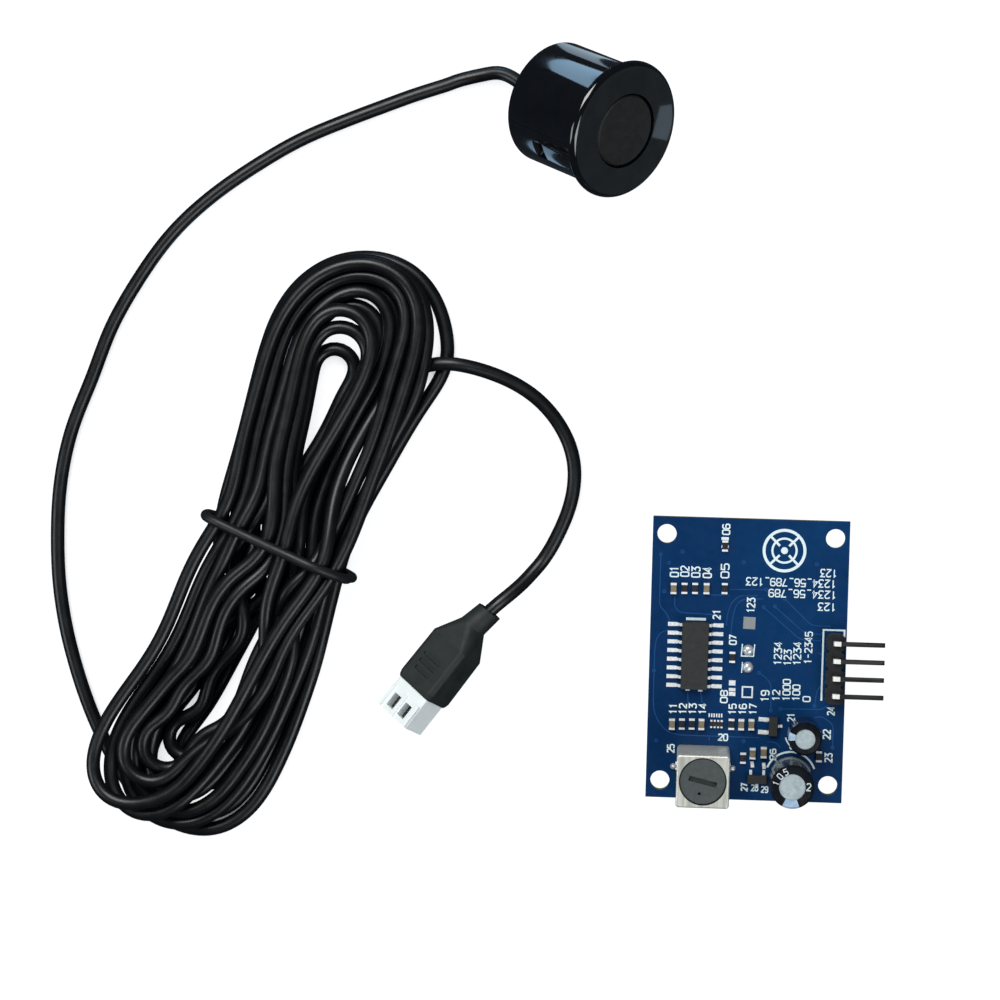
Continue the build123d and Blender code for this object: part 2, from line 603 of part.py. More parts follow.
with BuildPart() as plug_overmould:
    with BuildSketch(plug):
        with Locations(neck(0)):
            Circle(1.9)
    with BuildSketch(plug.offset(NECK_L)):
        Circle(2.1)
    loft()
    for pair in zip(OVER_SECTIONS, OVER_SECTIONS[1:]):
        for distance, width, height, corner in pair:
            with BuildSketch(plug.offset(distance)):
                RectangleRounded(width, height, corner)
        loft()
    with BuildSketch(plug.offset(OVER_L)):       # pocket for the housing
        RectangleRounded(SHELL_W + 0.06, SHELL_H + 0.06, 0.35)
    extrude(amount=-(SHELL_L - SHELL_OUT + 0.1), mode=Mode.SUBTRACT)
    with BuildSketch(plug.offset(CAVITY_START)):
        Rectangle(4.4, 1.5)
    extrude(amount=OVER_L - CAVITY_START, mode=Mode.SUBTRACT)
    for distance in (-0.01, 4.25):               # leaning cable bore
        with BuildSketch(plug.offset(distance)):
            with Locations(neck(distance)):
                Circle(BORE_R)
    loft(mode=Mode.SUBTRACT)
    for distance, length in GRIP_SLOTS:
        for side in (1, -1):
            with BuildSketch(plug_side(OVER_H / 2 - 0.27, side)):
                with Locations((-0.2, -side * distance)):
                    SlotOverall(length, 0.62)
            extrude(amount=1.0, mode=Mode.SUBTRACT)
save(plug_overmould, "plug_overmould")

with BuildPart() as plug_housing:
    with BuildSketch(plug.offset(SHELL_START)):
        RectangleRounded(SHELL_W, SHELL_H, 0.35)
    extrude(amount=SHELL_L)
    with BuildSketch(plug.offset(SHELL_START)):
        with Locations(*CONTACTS):
            Rectangle(1.9, 2.0)
    extrude(amount=SHELL_L, mode=Mode.SUBTRACT)
    with BuildSketch(plug_side(0)):              # windows
        with Locations(*[(x, -(SHELL_END - 1.85)) for x in CONTACT_XS]):
            Rectangle(1.4, 2.2)
    extrude(amount=SHELL_H, mode=Mode.SUBTRACT)
    with BuildSketch(plug_side(SHELL_H / 2)):    # ribs
        with Locations(*[(x, -(SHELL_END - 1.9)) for x in (-2.8, 0, 2.8)]):
            Rectangle(0.5, 3.6)
    extrude(amount=0.25)
save(plug_housing, "plug_housing")

with BuildPart() as crimp_terminals:
    for width, height, length, mode in ((1.6, 1.7, TERMINAL_L, Mode.ADD),
                                        (1.1, 1.2, TERMINAL_L, Mode.SUBTRACT),
                                        (1.3, 1.4, 0.4, Mode.ADD)):
        with BuildSketch(plug.offset(TERMINAL_START)):
            with Locations(*CONTACTS):
                Rectangle(width, height)
        extrude(amount=length, mode=mode)
save(crimp_terminals, "crimp_terminals")

with BuildPart() as core_wires:
    for side in (-1, 1):
        contact_x = side * SOCKET_PITCH / 2
        with BuildLine() as way:
            Spline(at(plug, 0.48 * side, 0, 4.3), at(plug, contact_x, 0, 9.0),
                   at(plug, contact_x, 0, TERMINAL_START - 0.1), tangents=(plug.z_dir, plug.z_dir))
        with BuildSketch(Plane(origin=way.line @ 0, z_dir=way.line % 0)) as disc:
            Circle(0.42)
        sweep(sections=disc.sketch, path=way.line)
save(core_wires, "core_wires")

# ------------------------------------------------------------------ coiled cable
# Measured (x, y, z) of the jacket's centre line, laid turn on turn, from the probe's flex point
# to the plug's.
ROUTE = [
    (-5.36, 52.29, 1.037), (-9.03, 51.03, 1.037), (-12.64, 49.63, 1.037),
    (-16.25, 48.2, 1.037), (-19.83, 46.73, 1.037), (-23.39, 45.18, 1.037),
    (-26.84, 43.41, 1.037), (-30.15, 41.41, 1.037), (-33.39, 39.27, 1.037),
    (-36.54, 37.01, 1.037), (-39.54, 34.57, 1.037), (-42.36, 31.91, 1.037),
    (-44.93, 29, 1.037), (-47.21, 25.87, 1.037), (-49.29, 22.6, 1.037),
    (-51.23, 19.24, 1.037), (-52.94, 15.77, 1.037), (-54.32, 12.15, 1.037),
    (-55.6, 8.49, 1.037), (-57, 4.87, 1.037), (-58.31, 1.23, 1.037),
    (-59.28, -2.53, 1.037), (-59.92, -6.35, 1.037), (-60.26, -10.21, 1.037),
    (-60.34, -14.08, 1.037), (-60.25, -17.96, 1.037), (-59.97, -21.82, 1.037),
    (-59.43, -25.66, 1.037), (-58.66, -29.46, 1.037), (-57.65, -33.21, 1.037),
    (-56.47, -36.9, 1.037), (-55.1, -40.53, 1.037), (-53.52, -44.06, 1.037),
    (-51.72, -47.49, 1.037), (-49.69, -50.8, 1.037), (-47.27, -53.82, 1.037),
    (-44.94, -55.86, 1.037), (-42.25, -57.4, 1.066), (-39.28, -58.25, 1.172),
    (-36.96, -58.29, 1.279), (-34.7, -57.73, 1.386), (-32.67, -56.62, 1.492),
    (-30.38, -54.53, 1.628), (-28.2, -51.34, 1.802), (-26.5, -47.86, 1.986),
    (-25.02, -44.29, 2.2), (-23.71, -40.64, 2.403), (-22.51, -36.97, 2.587),
    (-21.41, -33.25, 2.733), (-20.51, -29.48, 2.8), (-19.7, -25.69, 2.81),
    (-18.86, -21.9, 2.781), (-17.95, -18.13, 2.713), (-16.83, -14.43, 2.539),
    (-15.36, -10.85, 2.316), (-13.65, -7.39, 2.103), (-11.83, -3.97, 1.89),
    (-10.01, -0.54, 1.676), (-8.14, 2.85, 1.483), (-6.13, 6.15, 1.289),
    (-4.13, 9.47, 1.114), (-3.13, 12.39, 1.047), (-3.13, 15.48, 1.037),
    (-3.82, 18.51, 1.037), (-5.04, 21.35, 1.037), (-6.87, 23.85, 1.037),
    (-8.64, 25.35, 1.037), (-11.44, 26.66, 1.037), (-14.49, 27.19, 1.037),
    (-17.58, 26.99, 1.037), (-20.54, 26.1, 1.037), (-23.21, 24.53, 1.037),
    (-25.48, 22.42, 1.037), (-27.27, 19.89, 1.047), (-28.91, 16.38, 1.085),
    (-29.98, 12.66, 1.153), (-30.69, 8.85, 1.24), (-31.26, 5.02, 1.366),
    (-31.79, 1.18, 1.541), (-32.28, -2.65, 1.812), (-32.77, -6.47, 2.2),
    (-33.28, -10.29, 2.607), (-33.48, -13.38, 2.713), (-33, -15.65, 2.587),
    (-31.77, -17.6, 2.364), (-30.36, -19.43, 2.093), (-29.62, -21.61, 1.841),
    (-29.72, -23.93, 1.676), (-30.67, -26.86, 1.57), (-32.37, -30.35, 1.463),
    (-34.14, -33.8, 1.376), (-35.92, -37.24, 1.298), (-37.89, -40.57, 1.221),
    (-40.11, -43.75, 1.153), (-41.15, -45.84, 1.114), (-41.26, -48.13, 1.076),
    (-40.14, -50.16, 1.047), (-38.14, -51.31, 1.047), (-35.84, -51.24, 1.076),
    (-33.91, -49.96, 1.114), (-32.12, -47.43, 1.163), (-29.89, -44.27, 1.211),
    (-28.17, -40.8, 1.308), (-26.87, -37.15, 1.405), (-25.7, -33.45, 1.512),
    (-24.83, -29.68, 1.686), (-24.18, -25.86, 1.957), (-23.47, -22.09, 2.374),
    (-22.7, -18.3, 2.694), (-21.83, -14.52, 2.626), (-20.88, -10.78, 2.364),
    (-19.64, -7.11, 2.093), (-18.13, -3.55, 1.831), (-16.49, -0.05, 1.579),
    (-14.86, 3.46, 1.318), (-13.27, 6.99, 1.095), (-11.84, 10.59, 1.037),
    (-10.81, 14.32, 1.037), (-10.52, 17.41, 1.037), (-10.95, 19.69, 1.037),
    (-12.2, 21.64, 1.037), (-14.19, 22.82, 1.037), (-16.5, 23, 1.037),
    (-18.74, 22.37, 1.037), (-20.72, 21.18, 1.037), (-22.89, 18.97, 1.037),
    (-24.46, 16.3, 1.037), (-25.72, 12.64, 1.076), (-26.46, 8.84, 1.231),
    (-27.02, 5.01, 1.434), (-27.55, 1.18, 1.686), (-28.01, -2.66, 2.045),
    (-28.38, -6.48, 2.51), (-28.6, -10.3, 3.11), (-28.58, -14.12, 3.828),
    (-28.77, -17.18, 4.244), (-29.43, -19.4, 4.254), (-30.62, -21.33, 3.74),
    (-32.34, -23.5, 2.364), (-33.37, -25.38, 1.463), (-34.4, -28.27, 1.085),
    (-35.99, -31.79, 1.25), (-38.11, -35.04, 1.424), (-40.38, -38.17, 1.512),
    (-42.74, -41.25, 1.492), (-44.42, -43.85, 1.638), (-45.34, -45.97, 1.87),
    (-45.54, -48.27, 2.054), (-44.47, -50.29, 2.248), (-42.48, -51.39, 2.626),
    (-40.24, -51.12, 3.091), (-38.22, -49.97, 3.062), (-35.95, -47.96, 2.519),
    (-33.41, -45.07, 2.045), (-31.48, -42.66, 1.764), (-29.92, -39.12, 1.628),
    (-28.66, -35.46, 1.579), (-27.56, -31.74, 1.599), (-26.88, -27.92, 1.715),
    (-27.02, -24.06, 1.948), (-27.31, -20.22, 2.355), (-26.91, -16.39, 2.704),
    (-26.6, -12.53, 2.529), (-26.4, -9.48, 2.045), (-25.41, -6.58, 1.618),
    (-23.46, -3.24, 1.405), (-21.46, 0.08, 1.386), (-19.73, 3.54, 1.386),
    (-18.14, 7.08, 1.366), (-17.09, 9.16, 1.279), (-16.72, 11.41, 1.357),
    (-18.07, 13.23, 1.579), (-20.32, 13.54, 1.657), (-22.12, 12.14, 1.676),
    (-22.78, 9.93, 1.948), (-23.36, 6.13, 2.452), (-24, 2.33, 2.849),
    (-24.7, -1.46, 3.275), (-25.02, -5.29, 3.702), (-24.98, -9.15, 4.05),
    (-25.17, -13.01, 4.419), (-25.98, -16.78, 4.719), (-27.02, -19.7, 4.632),
    (-28.52, -22.38, 4.235), (-30.71, -24.51, 3.769), (-33.99, -26.53, 3.304),
    (-36.43, -28.36, 2.8), (-38.42, -30.71, 2.422), (-40.46, -33.98, 2.093),
    (-42.55, -37.23, 1.802), (-44.85, -40.34, 1.521), (-46.81, -43.67, 1.269),
    (-47.55, -45.87, 1.163), (-47.68, -48.19, 1.085), (-46.97, -50.4, 1.056),
    (-45.61, -52.27, 1.047), (-43.24, -54.28, 1.056), (-40.48, -55.65, 1.047),
    (-38.19, -56.06, 1.037), (-35.9, -55.74, 1.037), (-33.81, -54.71, 1.037),
    (-32.09, -53.16, 1.056), (-30.27, -50.65, 1.076), (-28.47, -47.21, 1.114),
    (-26.91, -43.67, 1.143), (-25.51, -40.05, 1.211), (-24.25, -36.39, 1.318),
    (-23.18, -32.67, 1.502), (-22.42, -28.88, 1.783), (-21.76, -25.08, 2.161),
    (-21.01, -21.3, 2.568), (-20.2, -17.51, 2.771), (-19.19, -13.77, 2.839),
    (-17.88, -10.13, 2.917), (-16.3, -6.58, 3.023), (-14.6, -3.1, 3.169),
    (-12.85, 0.35, 3.382), (-11.12, 3.8, 3.682), (-9.6, 7.34, 4.06),
    (-8.54, 11.06, 4.07), (-7.86, 14.84, 3.547), (-7.83, 17.91, 3.081),
    (-8.38, 20.14, 2.781), (-9.49, 22.16, 2.519), (-11.17, 23.76, 2.316),
    (-13.25, 24.77, 2.161), (-15.55, 25.11, 2.064), (-17.85, 24.85, 1.996),
    (-20.03, 24.06, 1.957), (-22.61, 22.34, 1.919), (-24.69, 20.05, 1.909),
    (-26.26, 17.37, 1.919), (-27.57, 13.73, 1.957), (-28.4, 9.95, 2.025),
    (-29, 6.12, 2.161), (-29.55, 2.28, 2.345), (-30.06, -1.55, 2.568),
    (-30.5, -5.39, 2.781), (-30.84, -9.26, 2.965), (-30.8, -13.11, 3.246),
    (-30.88, -16.12, 4.002), (-31.57, -18.99, 4.893), (-32.23, -21.18, 5.329),
    (-32.23, -23.48, 5.649), (-31.79, -25.76, 5.785), (-31.79, -28.06, 5.611),
    (-32.72, -30.16, 5.262), (-34.73, -32.47, 4.816), (-36.46, -35, 4.419),
    (-37.14, -37.21, 4.157), (-37.85, -39.41, 3.934), (-39.54, -40.95, 3.692),
    (-41.57, -42.07, 3.469), (-42.66, -44.06, 3.372), (-42.05, -46.26, 3.362),
    (-40.03, -47.3, 3.391), (-37.88, -46.57, 3.556), (-36.74, -44.55, 3.527),
    (-34.78, -43.39, 3.585), (-32.7, -42.41, 3.75), (-31.31, -40.54, 3.779),
    (-29.61, -37.07, 3.808), (-28, -33.54, 3.828), (-26.57, -29.93, 3.808),
    (-25.65, -26.17, 3.731), (-25.45, -22.32, 3.488), (-24.99, -18.49, 3.043),
    (-24.18, -14.72, 2.704), (-23.31, -10.95, 2.452), (-22.21, -7.24, 2.229),
    (-20.78, -3.65, 2.035), (-19.08, -0.16, 1.87), (-17.4, 3.33, 1.764),
    (-15.73, 6.83, 1.773), (-14.15, 10.37, 1.841), (-13.21, 13.32, 1.841),
    (-12.9, 15.62, 1.86), (-13.44, 17.87, 1.909), (-15.03, 19.53, 1.977),
    (-17.25, 20.16, 2.074), (-19.48, 19.55, 2.18), (-21.24, 18.05, 2.316),
    (-22.96, 15.49, 2.51), (-24.16, 12.63, 2.723), (-25.08, 8.88, 3.014),
    (-25.9, 5.11, 3.372), (-26.77, 1.35, 3.779), (-27.5, -2.42, 4.215),
    (-28.03, -6.23, 4.729), (-28.84, -9.19, 5.155), (-30.37, -11.86, 5.368),
    (-32.11, -14.43, 5.184), (-33.29, -17.21, 4.545), (-33.82, -20.13, 3.624),
    (-34.74, -22.97, 2.829), (-36.1, -24.83, 2.539), (-38.81, -27.59, 2.529),
    (-41.09, -30.72, 2.636), (-43.06, -34.06, 2.742), (-45.08, -37.37, 2.839),
    (-47.1, -40.67, 2.897), (-48.36, -43.51, 2.926), (-49.05, -46.52, 3.014),
    (-49.08, -49.61, 3.149), (-48.55, -51.88, 3.246), (-47.47, -53.93, 3.266),
    (-45.85, -55.59, 3.266), (-43.82, -56.73, 3.275), (-41.56, -57.23, 3.266),
    (-39.24, -57.06, 3.266), (-37.06, -56.25, 3.266), (-34.54, -54.46, 3.295),
    (-32.46, -52.17, 3.362), (-30.29, -48.97, 3.488), (-28.39, -45.58, 3.634),
    (-26.71, -42.1, 3.798), (-25.19, -38.54, 4.002), (-23.76, -34.94, 4.244),
    (-22.44, -31.31, 4.506), (-21.32, -27.6, 4.709), (-20.38, -23.84, 4.816),
    (-19.43, -20.08, 4.835), (-18.18, -16.42, 4.797), (-16.64, -12.86, 4.7),
    (-15.07, -9.31, 4.603), (-13.52, -5.77, 4.535), (-11.89, -2.25, 4.506),
    (-10.14, 1.21, 4.525), (-8.39, 4.67, 4.612), (-7, 8.28, 4.7),
    (-6.17, 12.06, 4.68), (-5.8, 15.92, 4.457), (-6.11, 18.99, 4.244),
    (-6.85, 21.19, 4.099), (-8.06, 23.17, 3.973), (-9.72, 24.79, 3.876),
    (-11.73, 25.94, 3.789), (-13.97, 26.57, 3.711), (-16.28, 26.67, 3.653),
    (-19.33, 26.07, 3.585), (-22.11, 24.72, 3.527), (-24.51, 22.77, 3.479),
    (-26.48, 20.38, 3.43), (-28.34, 16.98, 3.391), (-29.6, 13.32, 3.411),
    (-30.55, 9.56, 3.479), (-31.41, 5.78, 3.566), (-32.26, 2, 3.663),
    (-33.17, -1.77, 3.75), (-34.17, -5.51, 3.74), (-35.11, -9.27, 3.634),
    (-35.68, -13.09, 3.45), (-35.84, -16.97, 3.45), (-35.99, -20.79, 4.079),
    (-36.05, -24.6, 4.787), (-36.5, -27.65, 5.019), (-37.4, -30.61, 4.903),
    (-39.07, -34.09, 4.612), (-41.05, -37.42, 4.438), (-43.3, -40.58, 4.457),
    (-44.7, -43.34, 4.409), (-45.3, -46.37, 4.322), (-45.18, -48.69, 4.351),
    (-44.39, -50.86, 4.486), (-42.72, -52.45, 4.583), (-40.46, -52.95, 4.535),
    (-38.25, -52.28, 4.38), (-36.4, -50.88, 4.244), (-33.9, -47.93, 4.041),
    (-31.55, -44.87, 3.828), (-29.37, -41.66, 3.702), (-27.66, -38.18, 3.711),
    (-26.05, -34.65, 3.74), (-24.61, -31.06, 3.798), (-23.44, -27.37, 3.944),
    (-22.59, -23.6, 4.293), (-22.12, -19.78, 4.729), (-21.9, -15.91, 4.903),
    (-21.65, -12.06, 4.709), (-20.89, -8.27, 4.428), (-19.68, -4.59, 4.176),
    (-18.31, -0.97, 3.983), (-16.79, 2.59, 3.847), (-15, 6.03, 3.769),
    (-13.19, 9.46, 3.721), (-11.88, 13.1, 3.643), (-11.38, 16.15, 3.634),
    (-11.57, 18.47, 3.643), (-12.57, 20.56, 3.682), (-14.43, 21.93, 3.75),
    (-16.72, 22.2, 3.837), (-18.93, 21.49, 3.973), (-20.84, 20.17, 4.118),
    (-22.88, 17.86, 4.302), (-24.4, 15.17, 4.506), (-25.66, 11.52, 4.758),
    (-26.61, 7.76, 5.01), (-27.55, 4.02, 5.32), (-28.45, 0.27, 5.678),
    (-29.17, -3.52, 6.085), (-30.01, -7.28, 6.57), (-31.53, -10.81, 7.035),
    (-33.22, -14.28, 7.248), (-34.74, -17.84, 7.054), (-36.34, -21.36, 6.715),
    (-37.75, -24.95, 6.376), (-39.07, -28.58, 6.008), (-40.63, -32.1, 5.659),
    (-42.49, -35.5, 5.349), (-44.65, -38.7, 5.107), (-46.26, -41.34, 4.942),
    (-47.25, -44.28, 4.777), (-47.55, -47.35, 4.651), (-47.3, -49.66, 4.574),
    (-46.5, -51.83, 4.496), (-45.06, -53.66, 4.419), (-43.09, -54.87, 4.409),
    (-40.81, -55.3, 4.477), (-38.52, -54.91, 4.603), (-36.48, -53.82, 4.719),
    (-34.21, -51.72, 4.874), (-31.92, -48.6, 5.068), (-29.86, -45.32, 5.349),
    (-28.09, -41.89, 5.572), (-26.62, -38.31, 5.727), (-25.29, -34.67, 5.892),
    (-24.42, -30.9, 6.027), (-24.35, -27.03, 5.93), (-24.4, -23.17, 5.572),
    (-24.26, -19.3, 5.591), (-23.83, -15.48, 6.017), (-23.6, -11.61, 6.008),
    (-23.17, -7.77, 5.688), (-21.92, -4.13, 5.359), (-20.35, -0.59, 5.097),
    (-18.83, 2.97, 4.884), (-17.13, 6.44, 4.7), (-15.32, 9.87, 4.535),
    (-14.56, 12.06, 4.457), (-14.77, 14.36, 4.428), (-16.2, 16.18, 4.428),
    (-18.38, 16.92, 4.467), (-20.61, 16.35, 4.525), (-22.15, 14.62, 4.593),
    (-23.01, 12.47, 4.671), (-23.76, 8.67, 4.816), (-24.37, 4.85, 5.019),
    (-25.13, 1.05, 5.291), (-25.75, -2.75, 5.601), (-25.94, -6.61, 5.892),
    (-25.93, -10.48, 6.211), (-26.35, -13.54, 6.473), (-27.31, -16.47, 6.735),
    (-28.96, -19.04, 7.18), (-31.23, -21.12, 7.607), (-33.25, -23.44, 7.704),
    (-34.65, -26.19, 7.471), (-35.49, -29.17, 7.2), (-36.49, -32.09, 6.977),
    (-38.46, -34.46, 6.812), (-40.5, -36.79, 6.696), (-41.93, -39.54, 6.647),
    (-43.46, -41.27, 6.676), (-45.23, -42.78, 6.735), (-46.12, -44.91, 6.725),
    (-45.56, -47.12, 6.589), (-43.78, -48.54, 6.221), (-41.53, -48.57, 5.804),
    (-39.69, -47.2, 5.63), (-38.54, -45.18, 5.611), (-36.94, -43.51, 5.63),
    (-34.93, -42.35, 5.601), (-33.21, -40.79, 5.514), (-31.86, -38.02, 5.417),
    (-30.63, -34.33, 5.368), (-29.2, -30.74, 5.417), (-27.52, -27.28, 5.911),
    (-26.18, -23.8, 6.957), (-24.61, -21.21, 7.558), (-22.51, -18.95, 7.393),
    (-20.27, -15.87, 6.647), (-18.52, -12.47, 6.037), (-16.99, -8.92, 5.795),
    (-15.54, -5.33, 5.698), (-14.08, -1.74, 5.649), (-12.82, 1.93, 5.63),
    (-11.8, 5.67, 5.572), (-10.86, 9.43, 5.455), (-9.83, 13.17, 5.32),
    (-9, 16.94, 5.107), (-9, 19.25, 4.952), (-9.71, 21.45, 4.797),
    (-11.24, 23.2, 4.661), (-13.31, 24.23, 4.554), (-15.61, 24.56, 4.457),
    (-17.9, 24.27, 4.37), (-20.07, 23.44, 4.293), (-22.59, 21.65, 4.215),
    (-24.63, 19.31, 4.167), (-26.18, 16.63, 4.157), (-27.51, 12.99, 4.196),
    (-28.47, 9.23, 4.293), (-29.35, 5.46, 4.419), (-30.19, 1.68, 4.564),
    (-30.86, -2.13, 4.738), (-31.46, -5.96, 4.923), (-32.45, -9.69, 5.126),
    (-34.07, -13.2, 5.368), (-35.98, -16.57, 5.581), (-37.75, -20.02, 5.455),
    (-39.23, -23.59, 5.204), (-40.65, -27.19, 5.029), (-42.29, -30.7, 4.913),
    (-44.24, -34.05, 4.864), (-46.4, -37.27, 4.864), (-48.49, -40.53, 4.923),
    (-50.15, -44.02, 5.019), (-50.95, -47.02, 5.136), (-51.08, -49.33, 5.252),
    (-50.65, -51.61, 5.397), (-49.55, -53.64, 5.601), (-47.77, -55.08, 5.901),
    (-45.55, -55.63, 6.25), (-43.27, -55.26, 6.55), (-41.21, -54.22, 6.705),
    (-38.84, -52.22, 6.638), (-36.29, -49.31, 6.366), (-33.98, -46.21, 6.163),
    (-31.84, -42.98, 6.076), (-30.16, -39.5, 6.202), (-29.07, -35.8, 6.628),
    (-28.39, -32.04, 7.268), (-28.22, -28.22, 7.878), (-28.07, -24.36, 8.246),
    (-27.22, -20.59, 8.43), (-26.01, -16.91, 8.498), (-25.08, -13.15, 8.353),
    (-24.17, -9.4, 8.043), (-22.81, -5.79, 7.742), (-21.08, -2.33, 7.461),
    (-19.2, 1.05, 7.209), (-17.34, 4.45, 6.977), (-15.59, 7.91, 6.793),
    (-14.18, 11.51, 6.667), (-13.76, 13.8, 6.58), (-14.01, 16.09, 6.483),
    (-15.15, 18.1, 6.415), (-17.14, 19.29, 6.376), (-19.44, 19.34, 6.386),
    (-21.48, 18.24, 6.424), (-22.88, 16.4, 6.502), (-23.97, 13.51, 6.599),
    (-24.81, 9.73, 6.696), (-25.55, 5.92, 6.822), (-26.34, 2.13, 7.006),
    (-27.06, -1.67, 7.248), (-27.43, -5.53, 7.5), (-27.46, -9.39, 7.752),
    (-27.82, -12.46, 7.936), (-28.83, -15.38, 8.062), (-30.73, -17.82, 8.149),
    (-33.08, -19.85, 8.256), (-35.05, -22.22, 8.353), (-36.74, -25.71, 8.266),
    (-38.03, -29.35, 8.052), (-39.38, -32.13, 7.936), (-41.89, -35.09, 7.839),
    (-44.31, -38.11, 7.762), (-46.7, -41.17, 7.849), (-48.3, -43.8, 7.849),
    (-48.79, -46.07, 7.82), (-48.26, -48.32, 7.82), (-46.63, -49.95, 7.849),
    (-44.39, -50.5, 7.888), (-42.2, -49.77, 7.917), (-40.42, -48.29, 7.897),
    (-37.65, -45.57, 7.733), (-34.49, -43.34, 7.713), (-32.09, -41.41, 8.072),
    (-29.55, -38.52, 8.479), (-27.53, -35.22, 8.537), (-26.07, -31.63, 8.44),
    (-24.44, -28.12, 8.256), (-22.37, -24.86, 7.985), (-20.18, -21.67, 7.684),
    (-18.19, -18.35, 7.413), (-16.54, -14.86, 7.18), (-15.16, -11.23, 6.996),
    (-13.93, -7.56, 6.861), (-12.69, -3.89, 6.764), (-11.42, -0.23, 6.686),
    (-10.23, 3.46, 6.58), (-9.12, 7.17, 6.473), (-8.07, 10.9, 6.386),
    (-7.22, 14.68, 6.328), (-6.98, 17.77, 6.289), (-7.26, 20.08, 6.25),
    (-8.08, 22.25, 6.182), (-9.48, 24.09, 6.105), (-11.38, 25.42, 6.027),
    (-13.58, 26.17, 5.95), (-15.9, 26.33, 5.901), (-18.94, 25.74, 5.862),
    (-21.71, 24.37, 5.833), (-24.08, 22.38, 5.814), (-26.02, 19.97, 5.824),
    (-27.85, 16.56, 5.833), (-29.15, 12.91, 5.824), (-30.18, 9.16, 5.833),
    (-31.14, 5.41, 5.872), (-32.04, 1.64, 5.921), (-32.77, -2.16, 5.979),
    (-33.47, -5.98, 6.017), (-34.66, -9.66, 6.056), (-36.48, -13.08, 6.066),
    (-38.42, -16.45, 6.037), (-40.08, -19.94, 5.988), (-41.48, -23.56, 5.94),
    (-42.87, -27.17, 5.911), (-44.54, -30.67, 5.911), (-46.54, -33.99, 5.969),
    (-48.72, -37.19, 6.095), (-50.81, -40.45, 6.289), (-52.51, -43.92, 6.55),
    (-53.3, -46.9, 6.822), (-53.3, -49.21, 7.064), (-52.52, -51.38, 7.345),
    (-50.92, -53.01, 7.645), (-48.75, -53.77, 7.936), (-46.44, -53.74, 8.188),
    (-43.48, -52.9, 8.547), (-40.84, -51.35, 8.905), (-38.67, -49.15, 9.215),
    (-36.34, -46.08, 9.603), (-34.23, -42.84, 9.923), (-32.32, -39.47, 9.981),
    (-30.57, -36.01, 9.942), (-28.84, -32.54, 9.874), (-27.05, -29.11, 9.758),
    (-25.08, -25.78, 9.554), (-22.9, -22.58, 9.302), (-20.85, -19.3, 9.05),
    (-19.71, -16.44, 8.799), (-19.11, -12.65, 8.236), (-18.7, -8.9, 7.364),
    (-17.82, -5.26, 6.357), (-16.5, -1.76, 5.359), (-14.85, 1.62, 4.39),
    (-13.06, 4.93, 3.469), (-10.97, 8.06, 2.558), (-9.37, 9.68, 2.112),
    (-7.41, 10.93, 2.122), (-5.29, 11.71, 2.655), (-3.04, 11.98, 3.13),
    (0.03, 11.66, 2.994), (3.74, 10.67, 2.422), (7.28, 9.18, 1.89),
    (9.88, 7.54, 1.541), (12.16, 5.45, 1.24), (14.02, 2.99, 1.066),
    (15.4, 0.22, 1.037), (16.11, -2.79, 1.037), (16.1, -5.89, 1.037),
    (15.5, -8.93, 1.037), (14.12, -12.55, 1.037), (12.73, -15.32, 1.037),
]
COIL_STEPS = 1100                     # straight loft segments along the route

route = Spline(*[shifted(*point) for point in ROUTE])
with BuildPart() as cable_coil:
    for k in range(COIL_STEPS + 1):
        along = route % (k / COIL_STEPS)
        with BuildSketch(Plane(origin=route @ (k / COIL_STEPS),
                               x_dir=Vector(0, 0, 1).cross(along), z_dir=along)):
            Circle(CABLE_R)
    loft(ruled=True)
save(cable_coil, "cable_coil")

# ------------------------------------------------------------------ cable tie
TIE_R = 0.74
TIE_NORMAL = (0.37869, 0.92552, 0.0)  # the bundle runs through the tie along this direction
TIE_STEPS = 48                        # loft segments in each half
TIE = [                               # measured (x, y, z) of the closed centre line
    (-29.15, -14.61, 10.019), (-31.83, -13.52, 9.467), (-34.46, -12.44, 8.721),
    (-36.99, -11.41, 7.665), (-37.72, -11.11, 4.99), (-37.16, -11.34, 2.19),
    (-34.71, -12.34, 0.921), (-32.03, -13.43, 0.853), (-29.31, -14.55, 0.853),
    (-26.57, -15.66, 0.853), (-23.85, -16.79, 0.853), (-21.13, -17.9, 0.853),
    (-18.41, -19.01, 0.853), (-16.27, -19.89, 2.171), (-16.37, -19.84, 5.097),
    (-16.66, -19.72, 8.023), (-18.58, -18.94, 10.049), (-21.03, -17.94, 10.979),
    (-23.75, -16.82, 10.698), (-26.45, -15.72, 10.397),
]

band = Spline(*[shifted(*point) for point in TIE], periodic=True)
with BuildPart() as cable_tie:
    for half in (0, 1):
        for k in range(TIE_STEPS + 1):
            place = (half + k / TIE_STEPS) / 2
            with BuildSketch(Plane(origin=band @ place, x_dir=TIE_NORMAL, z_dir=band % place)):
                Circle(TIE_R)
        loft(ruled=True)
save(cable_tie, "cable_tie")
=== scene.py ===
# A round probe and a plug joined by one coiled, tied cable, with a small control board.
# Everything lies flat on the floor: +Z is up and the cable rests just above z = 0.
# The probe lead leaves the cable on the +Y side, the plug lead on the -Y side, and the
# bundle lies toward -X. The board's printed face looks up; its artwork is laid out in
# millimetres from the middle of the board. Lengths are in millimetres unless noted.
import bmesh, bpy, json, math
import numpy as np
from mathutils import Vector, Matrix


